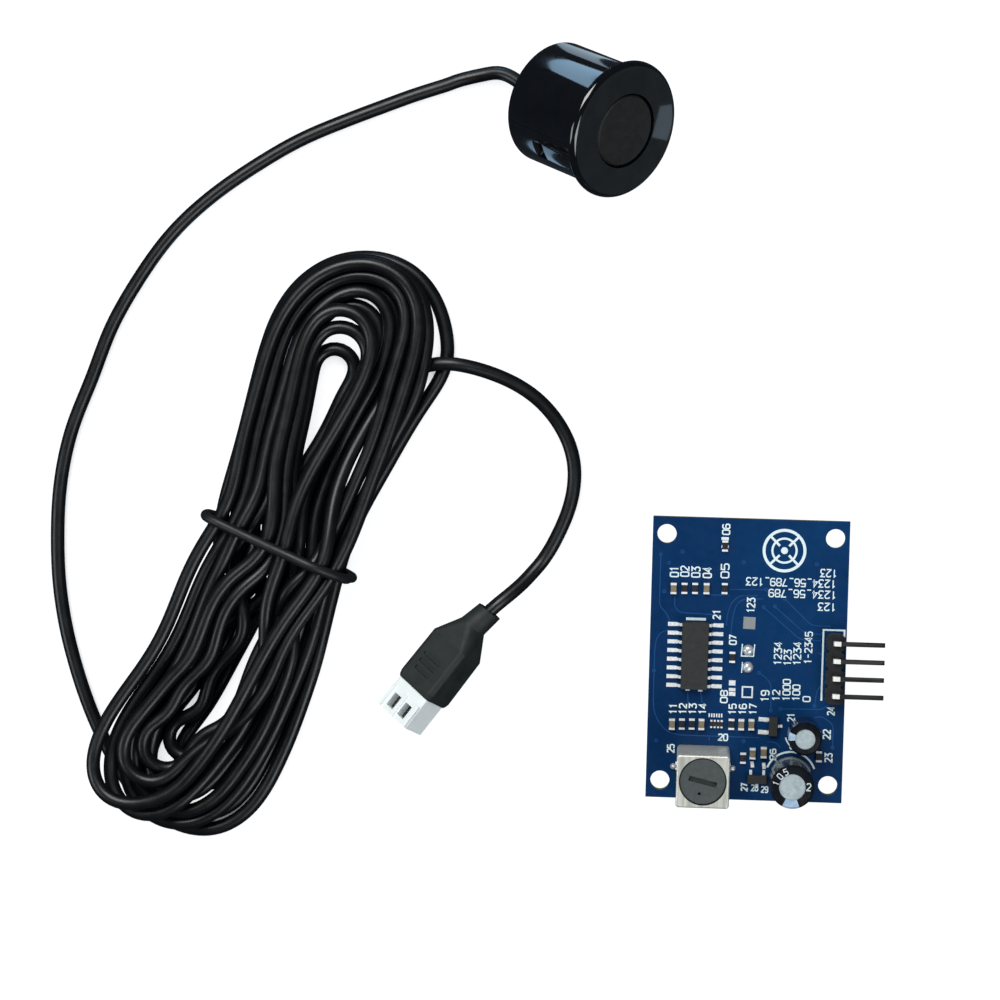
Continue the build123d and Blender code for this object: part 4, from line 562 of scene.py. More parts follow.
# Centre line of the cable through the bundle, from the probe end to the plug end
ROUTE = stations("""
-5.36 52.29 1.037, -9.03 51.03 1.037, -12.64 49.63 1.037, -16.25 48.2 1.037,
-19.83 46.73 1.037, -23.39 45.18 1.037, -26.84 43.41 1.037, -30.15 41.41 1.037,
-33.39 39.27 1.037, -36.54 37.01 1.037, -39.54 34.57 1.037, -42.36 31.91 1.037,
-44.93 29 1.037, -47.21 25.87 1.037, -49.29 22.6 1.037, -51.23 19.24 1.037,
-52.94 15.77 1.037, -54.32 12.15 1.037, -55.6 8.49 1.037, -57 4.87 1.037,
-58.31 1.23 1.037, -59.28 -2.53 1.037, -59.92 -6.35 1.037, -60.26 -10.21 1.037,
-60.34 -14.08 1.037, -60.25 -17.96 1.037, -59.97 -21.82 1.037, -59.43 -25.66 1.037,
-58.66 -29.46 1.037, -57.65 -33.21 1.037, -56.47 -36.9 1.037, -55.1 -40.53 1.037,
-53.52 -44.06 1.037, -51.72 -47.49 1.037, -49.69 -50.8 1.037, -47.27 -53.82 1.037,
-44.94 -55.86 1.037, -42.25 -57.4 1.066, -39.28 -58.25 1.172, -36.96 -58.29 1.279,
-34.7 -57.73 1.386, -32.67 -56.62 1.492, -30.38 -54.53 1.628, -28.2 -51.34 1.802,
-26.5 -47.86 1.986, -25.02 -44.29 2.2, -23.71 -40.64 2.403, -22.51 -36.97 2.587,
-21.41 -33.25 2.733, -20.51 -29.48 2.8, -19.7 -25.69 2.81, -18.86 -21.9 2.781,
-17.95 -18.13 2.713, -16.83 -14.43 2.539, -15.36 -10.85 2.316, -13.65 -7.39 2.103,
-11.83 -3.97 1.89, -10.01 -0.54 1.676, -8.14 2.85 1.483, -6.13 6.15 1.289,
-4.13 9.47 1.114, -3.13 12.39 1.047, -3.13 15.48 1.037, -3.82 18.51 1.037,
-5.04 21.35 1.037, -6.87 23.85 1.037, -8.64 25.35 1.037, -11.44 26.66 1.037,
-14.49 27.19 1.037, -17.58 26.99 1.037, -20.54 26.1 1.037, -23.21 24.53 1.037,
-25.48 22.42 1.037, -27.27 19.89 1.047, -28.91 16.38 1.085, -29.98 12.66 1.153,
-30.69 8.85 1.24, -31.26 5.02 1.366, -31.79 1.18 1.541, -32.28 -2.65 1.812,
-32.77 -6.47 2.2, -33.28 -10.29 2.607, -33.48 -13.38 2.713, -33 -15.65 2.587,
-31.77 -17.6 2.364, -30.36 -19.43 2.093, -29.62 -21.61 1.841, -29.72 -23.93 1.676,
-30.67 -26.86 1.57, -32.37 -30.35 1.463, -34.14 -33.8 1.376, -35.92 -37.24 1.298,
-37.89 -40.57 1.221, -40.11 -43.75 1.153, -41.15 -45.84 1.114, -41.26 -48.13 1.076,
-40.14 -50.16 1.047, -38.14 -51.31 1.047, -35.84 -51.24 1.076, -33.91 -49.96 1.114,
-32.12 -47.43 1.163, -29.89 -44.27 1.211, -28.17 -40.8 1.308, -26.87 -37.15 1.405,
-25.7 -33.45 1.512, -24.83 -29.68 1.686, -24.18 -25.86 1.957, -23.47 -22.09 2.374,
-22.7 -18.3 2.694, -21.83 -14.52 2.626, -20.88 -10.78 2.364, -19.64 -7.11 2.093,
-18.13 -3.55 1.831, -16.49 -0.05 1.579, -14.86 3.46 1.318, -13.27 6.99 1.095,
-11.84 10.59 1.037, -10.81 14.32 1.037, -10.52 17.41 1.037, -10.95 19.69 1.037,
-12.2 21.64 1.037, -14.19 22.82 1.037, -16.5 23 1.037, -18.74 22.37 1.037,
-20.72 21.18 1.037, -22.89 18.97 1.037, -24.46 16.3 1.037, -25.72 12.64 1.076,
-26.46 8.84 1.231, -27.02 5.01 1.434, -27.55 1.18 1.686, -28.01 -2.66 2.045,
-28.38 -6.48 2.51, -28.6 -10.3 3.11, -28.58 -14.12 3.828, -28.77 -17.18 4.244,
-29.43 -19.4 4.254, -30.62 -21.33 3.74, -32.34 -23.5 2.364, -33.37 -25.38 1.463,
-34.4 -28.27 1.085, -35.99 -31.79 1.25, -38.11 -35.04 1.424, -40.38 -38.17 1.512,
-42.74 -41.25 1.492, -44.42 -43.85 1.638, -45.34 -45.97 1.87, -45.54 -48.27 2.054,
-44.47 -50.29 2.248, -42.48 -51.39 2.626, -40.24 -51.12 3.091, -38.22 -49.97 3.062,
-35.95 -47.96 2.519, -33.41 -45.07 2.045, -31.48 -42.66 1.764, -29.92 -39.12 1.628,
-28.66 -35.46 1.579, -27.56 -31.74 1.599, -26.88 -27.92 1.715, -27.02 -24.06 1.948,
-27.31 -20.22 2.355, -26.91 -16.39 2.704, -26.6 -12.53 2.529, -26.4 -9.48 2.045,
-25.41 -6.58 1.618, -23.46 -3.24 1.405, -21.46 0.08 1.386, -19.73 3.54 1.386,
-18.14 7.08 1.366, -17.09 9.16 1.279, -16.72 11.41 1.357, -18.07 13.23 1.579,
-20.32 13.54 1.657, -22.12 12.14 1.676, -22.78 9.93 1.948, -23.36 6.13 2.452,
-24 2.33 2.849, -24.7 -1.46 3.275, -25.02 -5.29 3.702, -24.98 -9.15 4.05,
-25.17 -13.01 4.419, -25.98 -16.78 4.719, -27.02 -19.7 4.632, -28.52 -22.38 4.235,
-30.71 -24.51 3.769, -33.99 -26.53 3.304, -36.43 -28.36 2.8, -38.42 -30.71 2.422,
-40.46 -33.98 2.093, -42.55 -37.23 1.802, -44.85 -40.34 1.521, -46.81 -43.67 1.269,
-47.55 -45.87 1.163, -47.68 -48.19 1.085, -46.97 -50.4 1.056, -45.61 -52.27 1.047,
-43.24 -54.28 1.056, -40.48 -55.65 1.047, -38.19 -56.06 1.037, -35.9 -55.74 1.037,
-33.81 -54.71 1.037, -32.09 -53.16 1.056, -30.27 -50.65 1.076, -28.47 -47.21 1.114,
-26.91 -43.67 1.143, -25.51 -40.05 1.211, -24.25 -36.39 1.318, -23.18 -32.67 1.502,
-22.42 -28.88 1.783, -21.76 -25.08 2.161, -21.01 -21.3 2.568, -20.2 -17.51 2.771,
-19.19 -13.77 2.839, -17.88 -10.13 2.917, -16.3 -6.58 3.023, -14.6 -3.1 3.169,
-12.85 0.35 3.382, -11.12 3.8 3.682, -9.6 7.34 4.06, -8.54 11.06 4.07,
-7.86 14.84 3.547, -7.83 17.91 3.081, -8.38 20.14 2.781, -9.49 22.16 2.519,
-11.17 23.76 2.316, -13.25 24.77 2.161, -15.55 25.11 2.064, -17.85 24.85 1.996,
-20.03 24.06 1.957, -22.61 22.34 1.919, -24.69 20.05 1.909, -26.26 17.37 1.919,
-27.57 13.73 1.957, -28.4 9.95 2.025, -29 6.12 2.161, -29.55 2.28 2.345,
-30.06 -1.55 2.568, -30.5 -5.39 2.781, -30.84 -9.26 2.965, -30.8 -13.11 3.246,
-30.88 -16.12 4.002, -31.57 -18.99 4.893, -32.23 -21.18 5.329, -32.23 -23.48 5.649,
-31.79 -25.76 5.785, -31.79 -28.06 5.611, -32.72 -30.16 5.262, -34.73 -32.47 4.816,
-36.46 -35 4.419, -37.14 -37.21 4.157, -37.85 -39.41 3.934, -39.54 -40.95 3.692,
-41.57 -42.07 3.469, -42.66 -44.06 3.372, -42.05 -46.26 3.362, -40.03 -47.3 3.391,
-37.88 -46.57 3.556, -36.74 -44.55 3.527, -34.78 -43.39 3.585, -32.7 -42.41 3.75,
-31.31 -40.54 3.779, -29.61 -37.07 3.808, -28 -33.54 3.828, -26.57 -29.93 3.808,
-25.65 -26.17 3.731, -25.45 -22.32 3.488, -24.99 -18.49 3.043, -24.18 -14.72 2.704,
-23.31 -10.95 2.452, -22.21 -7.24 2.229, -20.78 -3.65 2.035, -19.08 -0.16 1.87,
-17.4 3.33 1.764, -15.73 6.83 1.773, -14.15 10.37 1.841, -13.21 13.32 1.841,
-12.9 15.62 1.86, -13.44 17.87 1.909, -15.03 19.53 1.977, -17.25 20.16 2.074,
-19.48 19.55 2.18, -21.24 18.05 2.316, -22.96 15.49 2.51, -24.16 12.63 2.723,
-25.08 8.88 3.014, -25.9 5.11 3.372, -26.77 1.35 3.779, -27.5 -2.42 4.215,
-28.03 -6.23 4.729, -28.84 -9.19 5.155, -30.37 -11.86 5.368, -32.11 -14.43 5.184,
-33.29 -17.21 4.545, -33.82 -20.13 3.624, -34.74 -22.97 2.829, -36.1 -24.83 2.539,
-38.81 -27.59 2.529, -41.09 -30.72 2.636, -43.06 -34.06 2.742, -45.08 -37.37 2.839,
-47.1 -40.67 2.897, -48.36 -43.51 2.926, -49.05 -46.52 3.014, -49.08 -49.61 3.149,
-48.55 -51.88 3.246, -47.47 -53.93 3.266, -45.85 -55.59 3.266, -43.82 -56.73 3.275,
-41.56 -57.23 3.266, -39.24 -57.06 3.266, -37.06 -56.25 3.266, -34.54 -54.46 3.295,
-32.46 -52.17 3.362, -30.29 -48.97 3.488, -28.39 -45.58 3.634, -26.71 -42.1 3.798,
-25.19 -38.54 4.002, -23.76 -34.94 4.244, -22.44 -31.31 4.506, -21.32 -27.6 4.709,
-20.38 -23.84 4.816, -19.43 -20.08 4.835, -18.18 -16.42 4.797, -16.64 -12.86 4.7,
-15.07 -9.31 4.603, -13.52 -5.77 4.535, -11.89 -2.25 4.506, -10.14 1.21 4.525,
-8.39 4.67 4.612, -7 8.28 4.7, -6.17 12.06 4.68, -5.8 15.92 4.457,
-6.11 18.99 4.244, -6.85 21.19 4.099, -8.06 23.17 3.973, -9.72 24.79 3.876,
-11.73 25.94 3.789, -13.97 26.57 3.711, -16.28 26.67 3.653, -19.33 26.07 3.585,
-22.11 24.72 3.527, -24.51 22.77 3.479, -26.48 20.38 3.43, -28.34 16.98 3.391,
-29.6 13.32 3.411, -30.55 9.56 3.479, -31.41 5.78 3.566, -32.26 2 3.663,
-33.17 -1.77 3.75, -34.17 -5.51 3.74, -35.11 -9.27 3.634, -35.68 -13.09 3.45,
-35.84 -16.97 3.45, -35.99 -20.79 4.079, -36.05 -24.6 4.787, -36.5 -27.65 5.019,
-37.4 -30.61 4.903, -39.07 -34.09 4.612, -41.05 -37.42 4.438, -43.3 -40.58 4.457,
-44.7 -43.34 4.409, -45.3 -46.37 4.322, -45.18 -48.69 4.351, -44.39 -50.86 4.486,
-42.72 -52.45 4.583, -40.46 -52.95 4.535, -38.25 -52.28 4.38, -36.4 -50.88 4.244,
-33.9 -47.93 4.041, -31.55 -44.87 3.828, -29.37 -41.66 3.702, -27.66 -38.18 3.711,
-26.05 -34.65 3.74, -24.61 -31.06 3.798, -23.44 -27.37 3.944, -22.59 -23.6 4.293,
-22.12 -19.78 4.729, -21.9 -15.91 4.903, -21.65 -12.06 4.709, -20.89 -8.27 4.428,
-19.68 -4.59 4.176, -18.31 -0.97 3.983, -16.79 2.59 3.847, -15 6.03 3.769,
-13.19 9.46 3.721, -11.88 13.1 3.643, -11.38 16.15 3.634, -11.57 18.47 3.643,
-12.57 20.56 3.682, -14.43 21.93 3.75, -16.72 22.2 3.837, -18.93 21.49 3.973,
-20.84 20.17 4.118, -22.88 17.86 4.302, -24.4 15.17 4.506, -25.66 11.52 4.758,
-26.61 7.76 5.01, -27.55 4.02 5.32, -28.45 0.27 5.678, -29.17 -3.52 6.085,
-30.01 -7.28 6.57, -31.53 -10.81 7.035, -33.22 -14.28 7.248, -34.74 -17.84 7.054,
-36.34 -21.36 6.715, -37.75 -24.95 6.376, -39.07 -28.58 6.008, -40.63 -32.1 5.659,
-42.49 -35.5 5.349, -44.65 -38.7 5.107, -46.26 -41.34 4.942, -47.25 -44.28 4.777,
-47.55 -47.35 4.651, -47.3 -49.66 4.574, -46.5 -51.83 4.496, -45.06 -53.66 4.419,
-43.09 -54.87 4.409, -40.81 -55.3 4.477, -38.52 -54.91 4.603, -36.48 -53.82 4.719,
-34.21 -51.72 4.874, -31.92 -48.6 5.068, -29.86 -45.32 5.349, -28.09 -41.89 5.572,
-26.62 -38.31 5.727, -25.29 -34.67 5.892, -24.42 -30.9 6.027, -24.35 -27.03 5.93,
-24.4 -23.17 5.572, -24.26 -19.3 5.591, -23.83 -15.48 6.017, -23.6 -11.61 6.008,
-23.17 -7.77 5.688, -21.92 -4.13 5.359, -20.35 -0.59 5.097, -18.83 2.97 4.884,
-17.13 6.44 4.7, -15.32 9.87 4.535, -14.56 12.06 4.457, -14.77 14.36 4.428,
-16.2 16.18 4.428, -18.38 16.92 4.467, -20.61 16.35 4.525, -22.15 14.62 4.593,
-23.01 12.47 4.671, -23.76 8.67 4.816, -24.37 4.85 5.019, -25.13 1.05 5.291,
-25.75 -2.75 5.601, -25.94 -6.61 5.892, -25.93 -10.48 6.211, -26.35 -13.54 6.473,
-27.31 -16.47 6.735, -28.96 -19.04 7.18, -31.23 -21.12 7.607, -33.25 -23.44 7.704,
-34.65 -26.19 7.471, -35.49 -29.17 7.2, -36.49 -32.09 6.977, -38.46 -34.46 6.812,
-40.5 -36.79 6.696, -41.93 -39.54 6.647, -43.46 -41.27 6.676, -45.23 -42.78 6.735,
-46.12 -44.91 6.725, -45.56 -47.12 6.589, -43.78 -48.54 6.221, -41.53 -48.57 5.804,
-39.69 -47.2 5.63, -38.54 -45.18 5.611, -36.94 -43.51 5.63, -34.93 -42.35 5.601,
-33.21 -40.79 5.514, -31.86 -38.02 5.417, -30.63 -34.33 5.368, -29.2 -30.74 5.417,
-27.52 -27.28 5.911, -26.18 -23.8 6.957, -24.61 -21.21 7.558, -22.51 -18.95 7.393,
-20.27 -15.87 6.647, -18.52 -12.47 6.037, -16.99 -8.92 5.795, -15.54 -5.33 5.698,
-14.08 -1.74 5.649, -12.82 1.93 5.63, -11.8 5.67 5.572, -10.86 9.43 5.455,
-9.83 13.17 5.32, -9 16.94 5.107, -9 19.25 4.952, -9.71 21.45 4.797,
-11.24 23.2 4.661, -13.31 24.23 4.554, -15.61 24.56 4.457, -17.9 24.27 4.37,
-20.07 23.44 4.293, -22.59 21.65 4.215, -24.63 19.31 4.167, -26.18 16.63 4.157,
-27.51 12.99 4.196, -28.47 9.23 4.293, -29.35 5.46 4.419, -30.19 1.68 4.564,
-30.86 -2.13 4.738, -31.46 -5.96 4.923, -32.45 -9.69 5.126, -34.07 -13.2 5.368,
-35.98 -16.57 5.581, -37.75 -20.02 5.455, -39.23 -23.59 5.204, -40.65 -27.19 5.029,
-42.29 -30.7 4.913, -44.24 -34.05 4.864, -46.4 -37.27 4.864, -48.49 -40.53 4.923,
-50.15 -44.02 5.019, -50.95 -47.02 5.136, -51.08 -49.33 5.252, -50.65 -51.61 5.397,
-49.55 -53.64 5.601, -47.77 -55.08 5.901, -45.55 -55.63 6.25, -43.27 -55.26 6.55,
-41.21 -54.22 6.705, -38.84 -52.22 6.638, -36.29 -49.31 6.366, -33.98 -46.21 6.163,
-31.84 -42.98 6.076, -30.16 -39.5 6.202, -29.07 -35.8 6.628, -28.39 -32.04 7.268,
-28.22 -28.22 7.878, -28.07 -24.36 8.246, -27.22 -20.59 8.43, -26.01 -16.91 8.498,
-25.08 -13.15 8.353, -24.17 -9.4 8.043, -22.81 -5.79 7.742, -21.08 -2.33 7.461,
-19.2 1.05 7.209, -17.34 4.45 6.977, -15.59 7.91 6.793, -14.18 11.51 6.667,
-13.76 13.8 6.58, -14.01 16.09 6.483, -15.15 18.1 6.415, -17.14 19.29 6.376,
-19.44 19.34 6.386, -21.48 18.24 6.424, -22.88 16.4 6.502, -23.97 13.51 6.599,
-24.81 9.73 6.696, -25.55 5.92 6.822, -26.34 2.13 7.006, -27.06 -1.67 7.248,
-27.43 -5.53 7.5, -27.46 -9.39 7.752, -27.82 -12.46 7.936, -28.83 -15.38 8.062,
-30.73 -17.82 8.149, -33.08 -19.85 8.256, -35.05 -22.22 8.353, -36.74 -25.71 8.266,
-38.03 -29.35 8.052, -39.38 -32.13 7.936, -41.89 -35.09 7.839, -44.31 -38.11 7.762,
-46.7 -41.17 7.849, -48.3 -43.8 7.849, -48.79 -46.07 7.82, -48.26 -48.32 7.82,
-46.63 -49.95 7.849, -44.39 -50.5 7.888, -42.2 -49.77 7.917, -40.42 -48.29 7.897,
-37.65 -45.57 7.733, -34.49 -43.34 7.713, -32.09 -41.41 8.072, -29.55 -38.52 8.479,
-27.53 -35.22 8.537, -26.07 -31.63 8.44, -24.44 -28.12 8.256, -22.37 -24.86 7.985,
-20.18 -21.67 7.684, -18.19 -18.35 7.413, -16.54 -14.86 7.18, -15.16 -11.23 6.996,
-13.93 -7.56 6.861, -12.69 -3.89 6.764, -11.42 -0.23 6.686, -10.23 3.46 6.58,
-9.12 7.17 6.473, -8.07 10.9 6.386, -7.22 14.68 6.328, -6.98 17.77 6.289,
-7.26 20.08 6.25, -8.08 22.25 6.182, -9.48 24.09 6.105, -11.38 25.42 6.027,
-13.58 26.17 5.95, -15.9 26.33 5.901, -18.94 25.74 5.862, -21.71 24.37 5.833,
-24.08 22.38 5.814, -26.02 19.97 5.824, -27.85 16.56 5.833, -29.15 12.91 5.824,
-30.18 9.16 5.833, -31.14 5.41 5.872, -32.04 1.64 5.921, -32.77 -2.16 5.979,
-33.47 -5.98 6.017, -34.66 -9.66 6.056, -36.48 -13.08 6.066, -38.42 -16.45 6.037,
-40.08 -19.94 5.988, -41.48 -23.56 5.94, -42.87 -27.17 5.911, -44.54 -30.67 5.911,
-46.54 -33.99 5.969, -48.72 -37.19 6.095, -50.81 -40.45 6.289, -52.51 -43.92 6.55,
-53.3 -46.9 6.822, -53.3 -49.21 7.064, -52.52 -51.38 7.345, -50.92 -53.01 7.645,
-48.75 -53.77 7.936, -46.44 -53.74 8.188, -43.48 -52.9 8.547, -40.84 -51.35 8.905,
-38.67 -49.15 9.215, -36.34 -46.08 9.603, -34.23 -42.84 9.923, -32.32 -39.47 9.981,
-30.57 -36.01 9.942, -28.84 -32.54 9.874, -27.05 -29.11 9.758, -25.08 -25.78 9.554,
-22.9 -22.58 9.302, -20.85 -19.3 9.05, -19.71 -16.44 8.799, -19.11 -12.65 8.236,
-18.7 -8.9 7.364, -17.82 -5.26 6.357, -16.5 -1.76 5.359, -14.85 1.62 4.39,
-13.06 4.93 3.469, -10.97 8.06 2.558, -9.37 9.68 2.112, -7.41 10.93 2.122,
-5.29 11.71 2.655, -3.04 11.98 3.13, 0.03 11.66 2.994, 3.74 10.67 2.422,
7.28 9.18 1.89, 9.88 7.54 1.541, 12.16 5.45 1.24, 14.02 2.99 1.066,
15.4 0.22 1.037, 16.11 -2.79 1.037, 16.1 -5.89 1.037, 15.5 -8.93 1.037,
14.12 -12.55 1.037, 12.73 -15.32 1.037""")
# Closed centre line of the tie round the bundle
TIE = stations("""
-29.15 -14.61 10.019, -31.83 -13.52 9.467, -34.46 -12.44 8.721, -36.99 -11.41 7.665,
-37.72 -11.11 4.99, -37.16 -11.34 2.19, -34.71 -12.34 0.921, -32.03 -13.43 0.853,
-29.31 -14.55 0.853, -26.57 -15.66 0.853, -23.85 -16.79 0.853, -21.13 -17.9 0.853,
-18.41 -19.01 0.853, -16.27 -19.89 2.171, -16.37 -19.84 5.097, -16.66 -19.72 8.023,
-18.58 -18.94 10.049, -21.03 -17.94 10.979, -23.75 -16.82 10.698, -26.45 -15.72 10.397""")
# Centre line of each lead, from its fitting toward the bundle
PROBE_LEAD = stations("""
14.34 49.509 9.452, 12.969 50.064 8.182, 11.598 50.62 6.912, 10.226 51.176 5.642,
8.855 51.732 4.372, 8.285 52.031 3.919, 7.708 52.436 3.566, 7.134 52.88 3.257,
6.557 53.321 2.95, 5.961 53.742 2.649, 5.336 54.128 2.362, 4.673 54.462 2.096,
3.969 54.717 1.851, 3.225 54.856 1.631, 2.46 54.847 1.443, 1.696 54.729 1.291,
0.933 54.565 1.177, 0.167 54.393 1.1, -0.599 54.211 1.055, -1.363 54.015 1.034,
-2.122 53.801 1.029, -2.874 53.56 1.03, -3.609 53.275 1.027, -4.34 52.979 1.02,
-5.087 52.725 1.017""")
PLUG_LEAD = stations("""
1.204 -26.629 4.15, 2.87 -25.061 4.15, 4.535 -23.494 4.15, 5.245 -22.848 4.078,
5.959 -22.235 3.875, 6.66 -21.647 3.574, 7.342 -21.066 3.219, 8.004 -20.479 2.837,
8.641 -19.873 2.443, 9.252 -19.237 2.056, 9.848 -18.568 1.702, 10.445 -17.872 1.406,
11.045 -17.153 1.181, 11.616 -16.391 1.041, 12.135 -15.58 1.017""")
BUNDLE_SHIFT = np.array([-0.2915, 0.2442, 0.0])  # moves the bundle and tie into place
CABLE_RADIUS, CABLE_STEP, CABLE_SIDES = 1.017, 0.75, 20
TIE_RADIUS, TIE_STEP, TIE_SIDES = 0.74, 0.45, 18
END_SEARCH = 200  # stations at each end among which the flex joint is sought
PROBE_CUT, PLUG_CUT = 40, 36  # stations from each flex joint to the end of its lead


def fit_piece(replaced):
    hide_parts(replaced)


line = smooth_line(np.vstack([PROBE_LEAD, ROUTE + BUNDLE_SHIFT, PLUG_LEAD[::-1]]), CABLE_STEP)
line_side, line_up = carried_frames(line)
probe_joint = np.array(JOINTS["probe_lead_flex"]["pos_m"]) / MM
plug_joint = np.array(JOINTS["plug_lead_flex"]["pos_m"]) / MM
probe_at = int(np.argmin(np.linalg.norm(line[:END_SEARCH] - probe_joint, axis=1)))
plug_at = (len(line) - END_SEARCH
           + int(np.argmin(np.linalg.norm(line[-END_SEARCH:] - plug_joint, axis=1))))
probe_cut, plug_cut = probe_at + PROBE_CUT, plug_at - PLUG_CUT


def jacket_span(name, first, last):
    """A closed length of jacket between two stations, so that lengths meet ring to ring."""
    part = slice(first, last + 1)
    return tube(name, line[part], line_side[part], line_up[part], CABLE_RADIUS, CABLE_SIDES,
                MATS["cable_pvc"])


jacket = jacket_span("coiled_cable_jacket", probe_cut, plug_cut)
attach(jacket, "coil")
fit_piece("cable_coil")

# End, first and last station, joint, and the joint's station with the step toward the end
for end, first, last, joint, at, outward in (
        ("probe", 0, probe_cut, probe_joint, probe_at, -2),
        ("plug", plug_cut, len(line) - 1, plug_joint, plug_at, 2)):
    lead = jacket_span(f"{end}_lead_jacket", first, last)
    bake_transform(lead)
    fit_piece(f"{end}_cable")

tie_line = smooth_line(TIE + BUNDLE_SHIFT, TIE_STEP, closed=True)[:-1]
tie = tube("cable_tie_band", tie_line, *carried_frames(tie_line, closed=True), TIE_RADIUS,
           TIE_SIDES, MATS["tie_pvc"], closed=True)
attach(tie, "coil")
fit_piece("cable_tie")

# ================================================================ artwork tools
ART_BOTTOM, ART_TOP = -0.01, 0.03  # heights of the artwork about the board's top face

# Each figure as one stroke on a grid 4 wide and 6 high
GLYPHS = {
    "0": [(0.6, 0), (0, 1), (0, 5), (0.6, 6), (3.4, 6), (4, 5), (4, 1), (3.4, 0), (0.6, 0)],
    "1": [(0.8, 4.8), (2.2, 6), (2.2, 0)],
    "2": [(0, 5), (0.8, 6), (3.2, 6), (4, 5), (4, 3.8), (0, 0.2), (0, 0), (4, 0)],
    "3": [(0, 6), (4, 6), (1.8, 3.6), (3.2, 3.4), (4, 2.4), (4, 1), (3.2, 0), (0.8, 0),
          (0, 0.8)],
    "4": [(3, 0), (3, 6), (0, 1.8), (4.2, 1.8)],
    "5": [(4, 6), (0.3, 6), (0, 3.4), (3.2, 3.6), (4, 2.7), (4, 1), (3.2, 0), (0.8, 0),
          (0, 0.7)],
    "6": [(3.8, 5.4), (3, 6), (1, 6), (0, 5), (0, 1), (0.8, 0), (3.2, 0), (4, 0.9),
          (4, 2.5), (3.2, 3.4), (0.2, 3.3)],
    "7": [(0, 6), (4, 6), (1.6, 0)],
    "8": [(0.8, 3.2), (0, 4.2), (0, 5.2), (0.8, 6), (3.2, 6), (4, 5.2), (4, 4.2), (3.2, 3.2),
          (0.8, 3.2), (0, 2.3), (0, 0.8), (0.8, 0), (3.2, 0), (4, 0.8), (4, 2.3), (3.2, 3.2)],
    "9": [(0.2, 0.6), (1, 0), (3, 0), (4, 1), (4, 5), (3.2, 6), (0.8, 6), (0, 5.1),
          (0, 3.6), (0.8, 2.7), (3.9, 2.8)],
    "_": [(0, -0.4), (3.4, -0.4)],
    "-": [(0.4, 3), (3.6, 3)],
}


def circle(x, y, radius, angles_deg):
    return [(x + radius * math.cos(math.radians(a)), y + radius * math.sin(math.radians(a)))
            for a in angles_deg]


def turned(x, y, turn, points):
    """Points turned by some degrees and moved to (x, y)."""
    cos, sin = math.cos(math.radians(turn)), math.sin(math.radians(turn))
    return [(x + px * cos - py * sin, y + px * sin + py * cos) for px, py in points]


class Art:
    """Thin closed solids on the board's top face."""

    def __init__(self):
        self.verts, self.faces = [], []

    def lay(self, points, height):
        self.verts += [(BOARD_X + x * MM, BOARD_Y + y * MM, BOARD_TOP + height * MM)
                       for x, y in points]

    def prism(self, outline):
        """A flat plate; the outline runs counter-clockwise."""
        low, count = len(self.verts), len(outline)
        self.lay(outline, ART_BOTTOM)
        self.lay(outline, ART_TOP)
        self.faces.append(tuple(range(low, low + count))[::-1])
        self.faces.append(tuple(range(low + count, low + 2 * count)))
        self.faces += band(low, low + count, count)

    def rect(self, x, y, wide, high, turn=0.0):
        corners = [(-wide / 2, -high / 2), (wide / 2, -high / 2),
                   (wide / 2, high / 2), (-wide / 2, high / 2)]
        self.prism(turned(x, y, turn, corners))

    def disc(self, x, y, radius, sides=28):
        self.prism(circle(x, y, radius, [360 * i / sides for i in range(sides)]))

    def stroke(self, points, width, bottom=ART_BOTTOM, top=ART_TOP, closed=False):
        """A ribbon of even width along a polyline, mitred at its corners."""
        sharpest = 0.45  # limits how far a mitre may reach
        path = np.array(points, float)
        after = np.roll(path, -1, 0) - path
        if not closed:
            after[-1] = after[-2]
        after = unit(after)
        before = np.roll(after, 1, 0)
        if not closed:
            before[0] = after[0]
        along = unit(before + after)
        across = np.stack([-along[:, 1], along[:, 0]], axis=1)
        half = width / 2 / np.maximum(sharpest, (along * before).sum(axis=1))
        offset = across * half[:, None]
        count = len(path)
        # index of the first vertex on each of the four long edges
        left, right, left_top, right_top = (len(self.verts) + count * i for i in range(4))
        for height in (bottom, top):
            self.lay(path + offset, height)
            self.lay(path - offset, height)
        for i in range(count if closed else count - 1):
            j = (i + 1) % count
            for one, other in ((right_top, left_top), (left, right),
                               (left_top, left), (right, right_top)):
                self.faces.append((one + i, one + j, other + j, other + i))
        if not closed:
            end = count - 1
            self.faces.append((right, right_top, left_top, left))
            self.faces.append((left + end, left_top + end, right_top + end, right + end))

    def arc(self, x, y, radius, start, stop, width, top=ART_TOP, steps=40):
        """A curved ribbon between two bearings in degrees, or a full ring."""
        full = abs(stop - start) >= 359.9
        angles = [start + (stop - start) * i / steps for i in range(steps + (not full))]
        self.stroke(circle(x, y, radius, angles), width, top=top, closed=full)

    def figures(self, text, x, y, high, length, turn, weight, bottom=ART_BOTTOM, top=ART_TOP):
        """A row of figures centred on (x, y), length long, turned about its centre."""
        lead_in, fill = 0.13, 0.74  # share of the pitch before a figure and across it
        pitch = length / len(text)
        for i, char in enumerate(text):
            start = -length / 2 + pitch * (i + lead_in)
            glyph = GLYPHS[char]
            points = turned(x, y, turn, [(start + across * pitch * fill / 4.0,
                                          -high / 2 + rise * high / 6.0)
                                         for across, rise in glyph])
            closed = glyph[0] == glyph[-1]
            self.stroke(points[:-1] if closed else points, weight, bottom, top, closed)

    def make(self, name, mat, slot=None):
        obj = new_object(name, self.verts, self.faces, mat)
        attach(obj, "control_board")


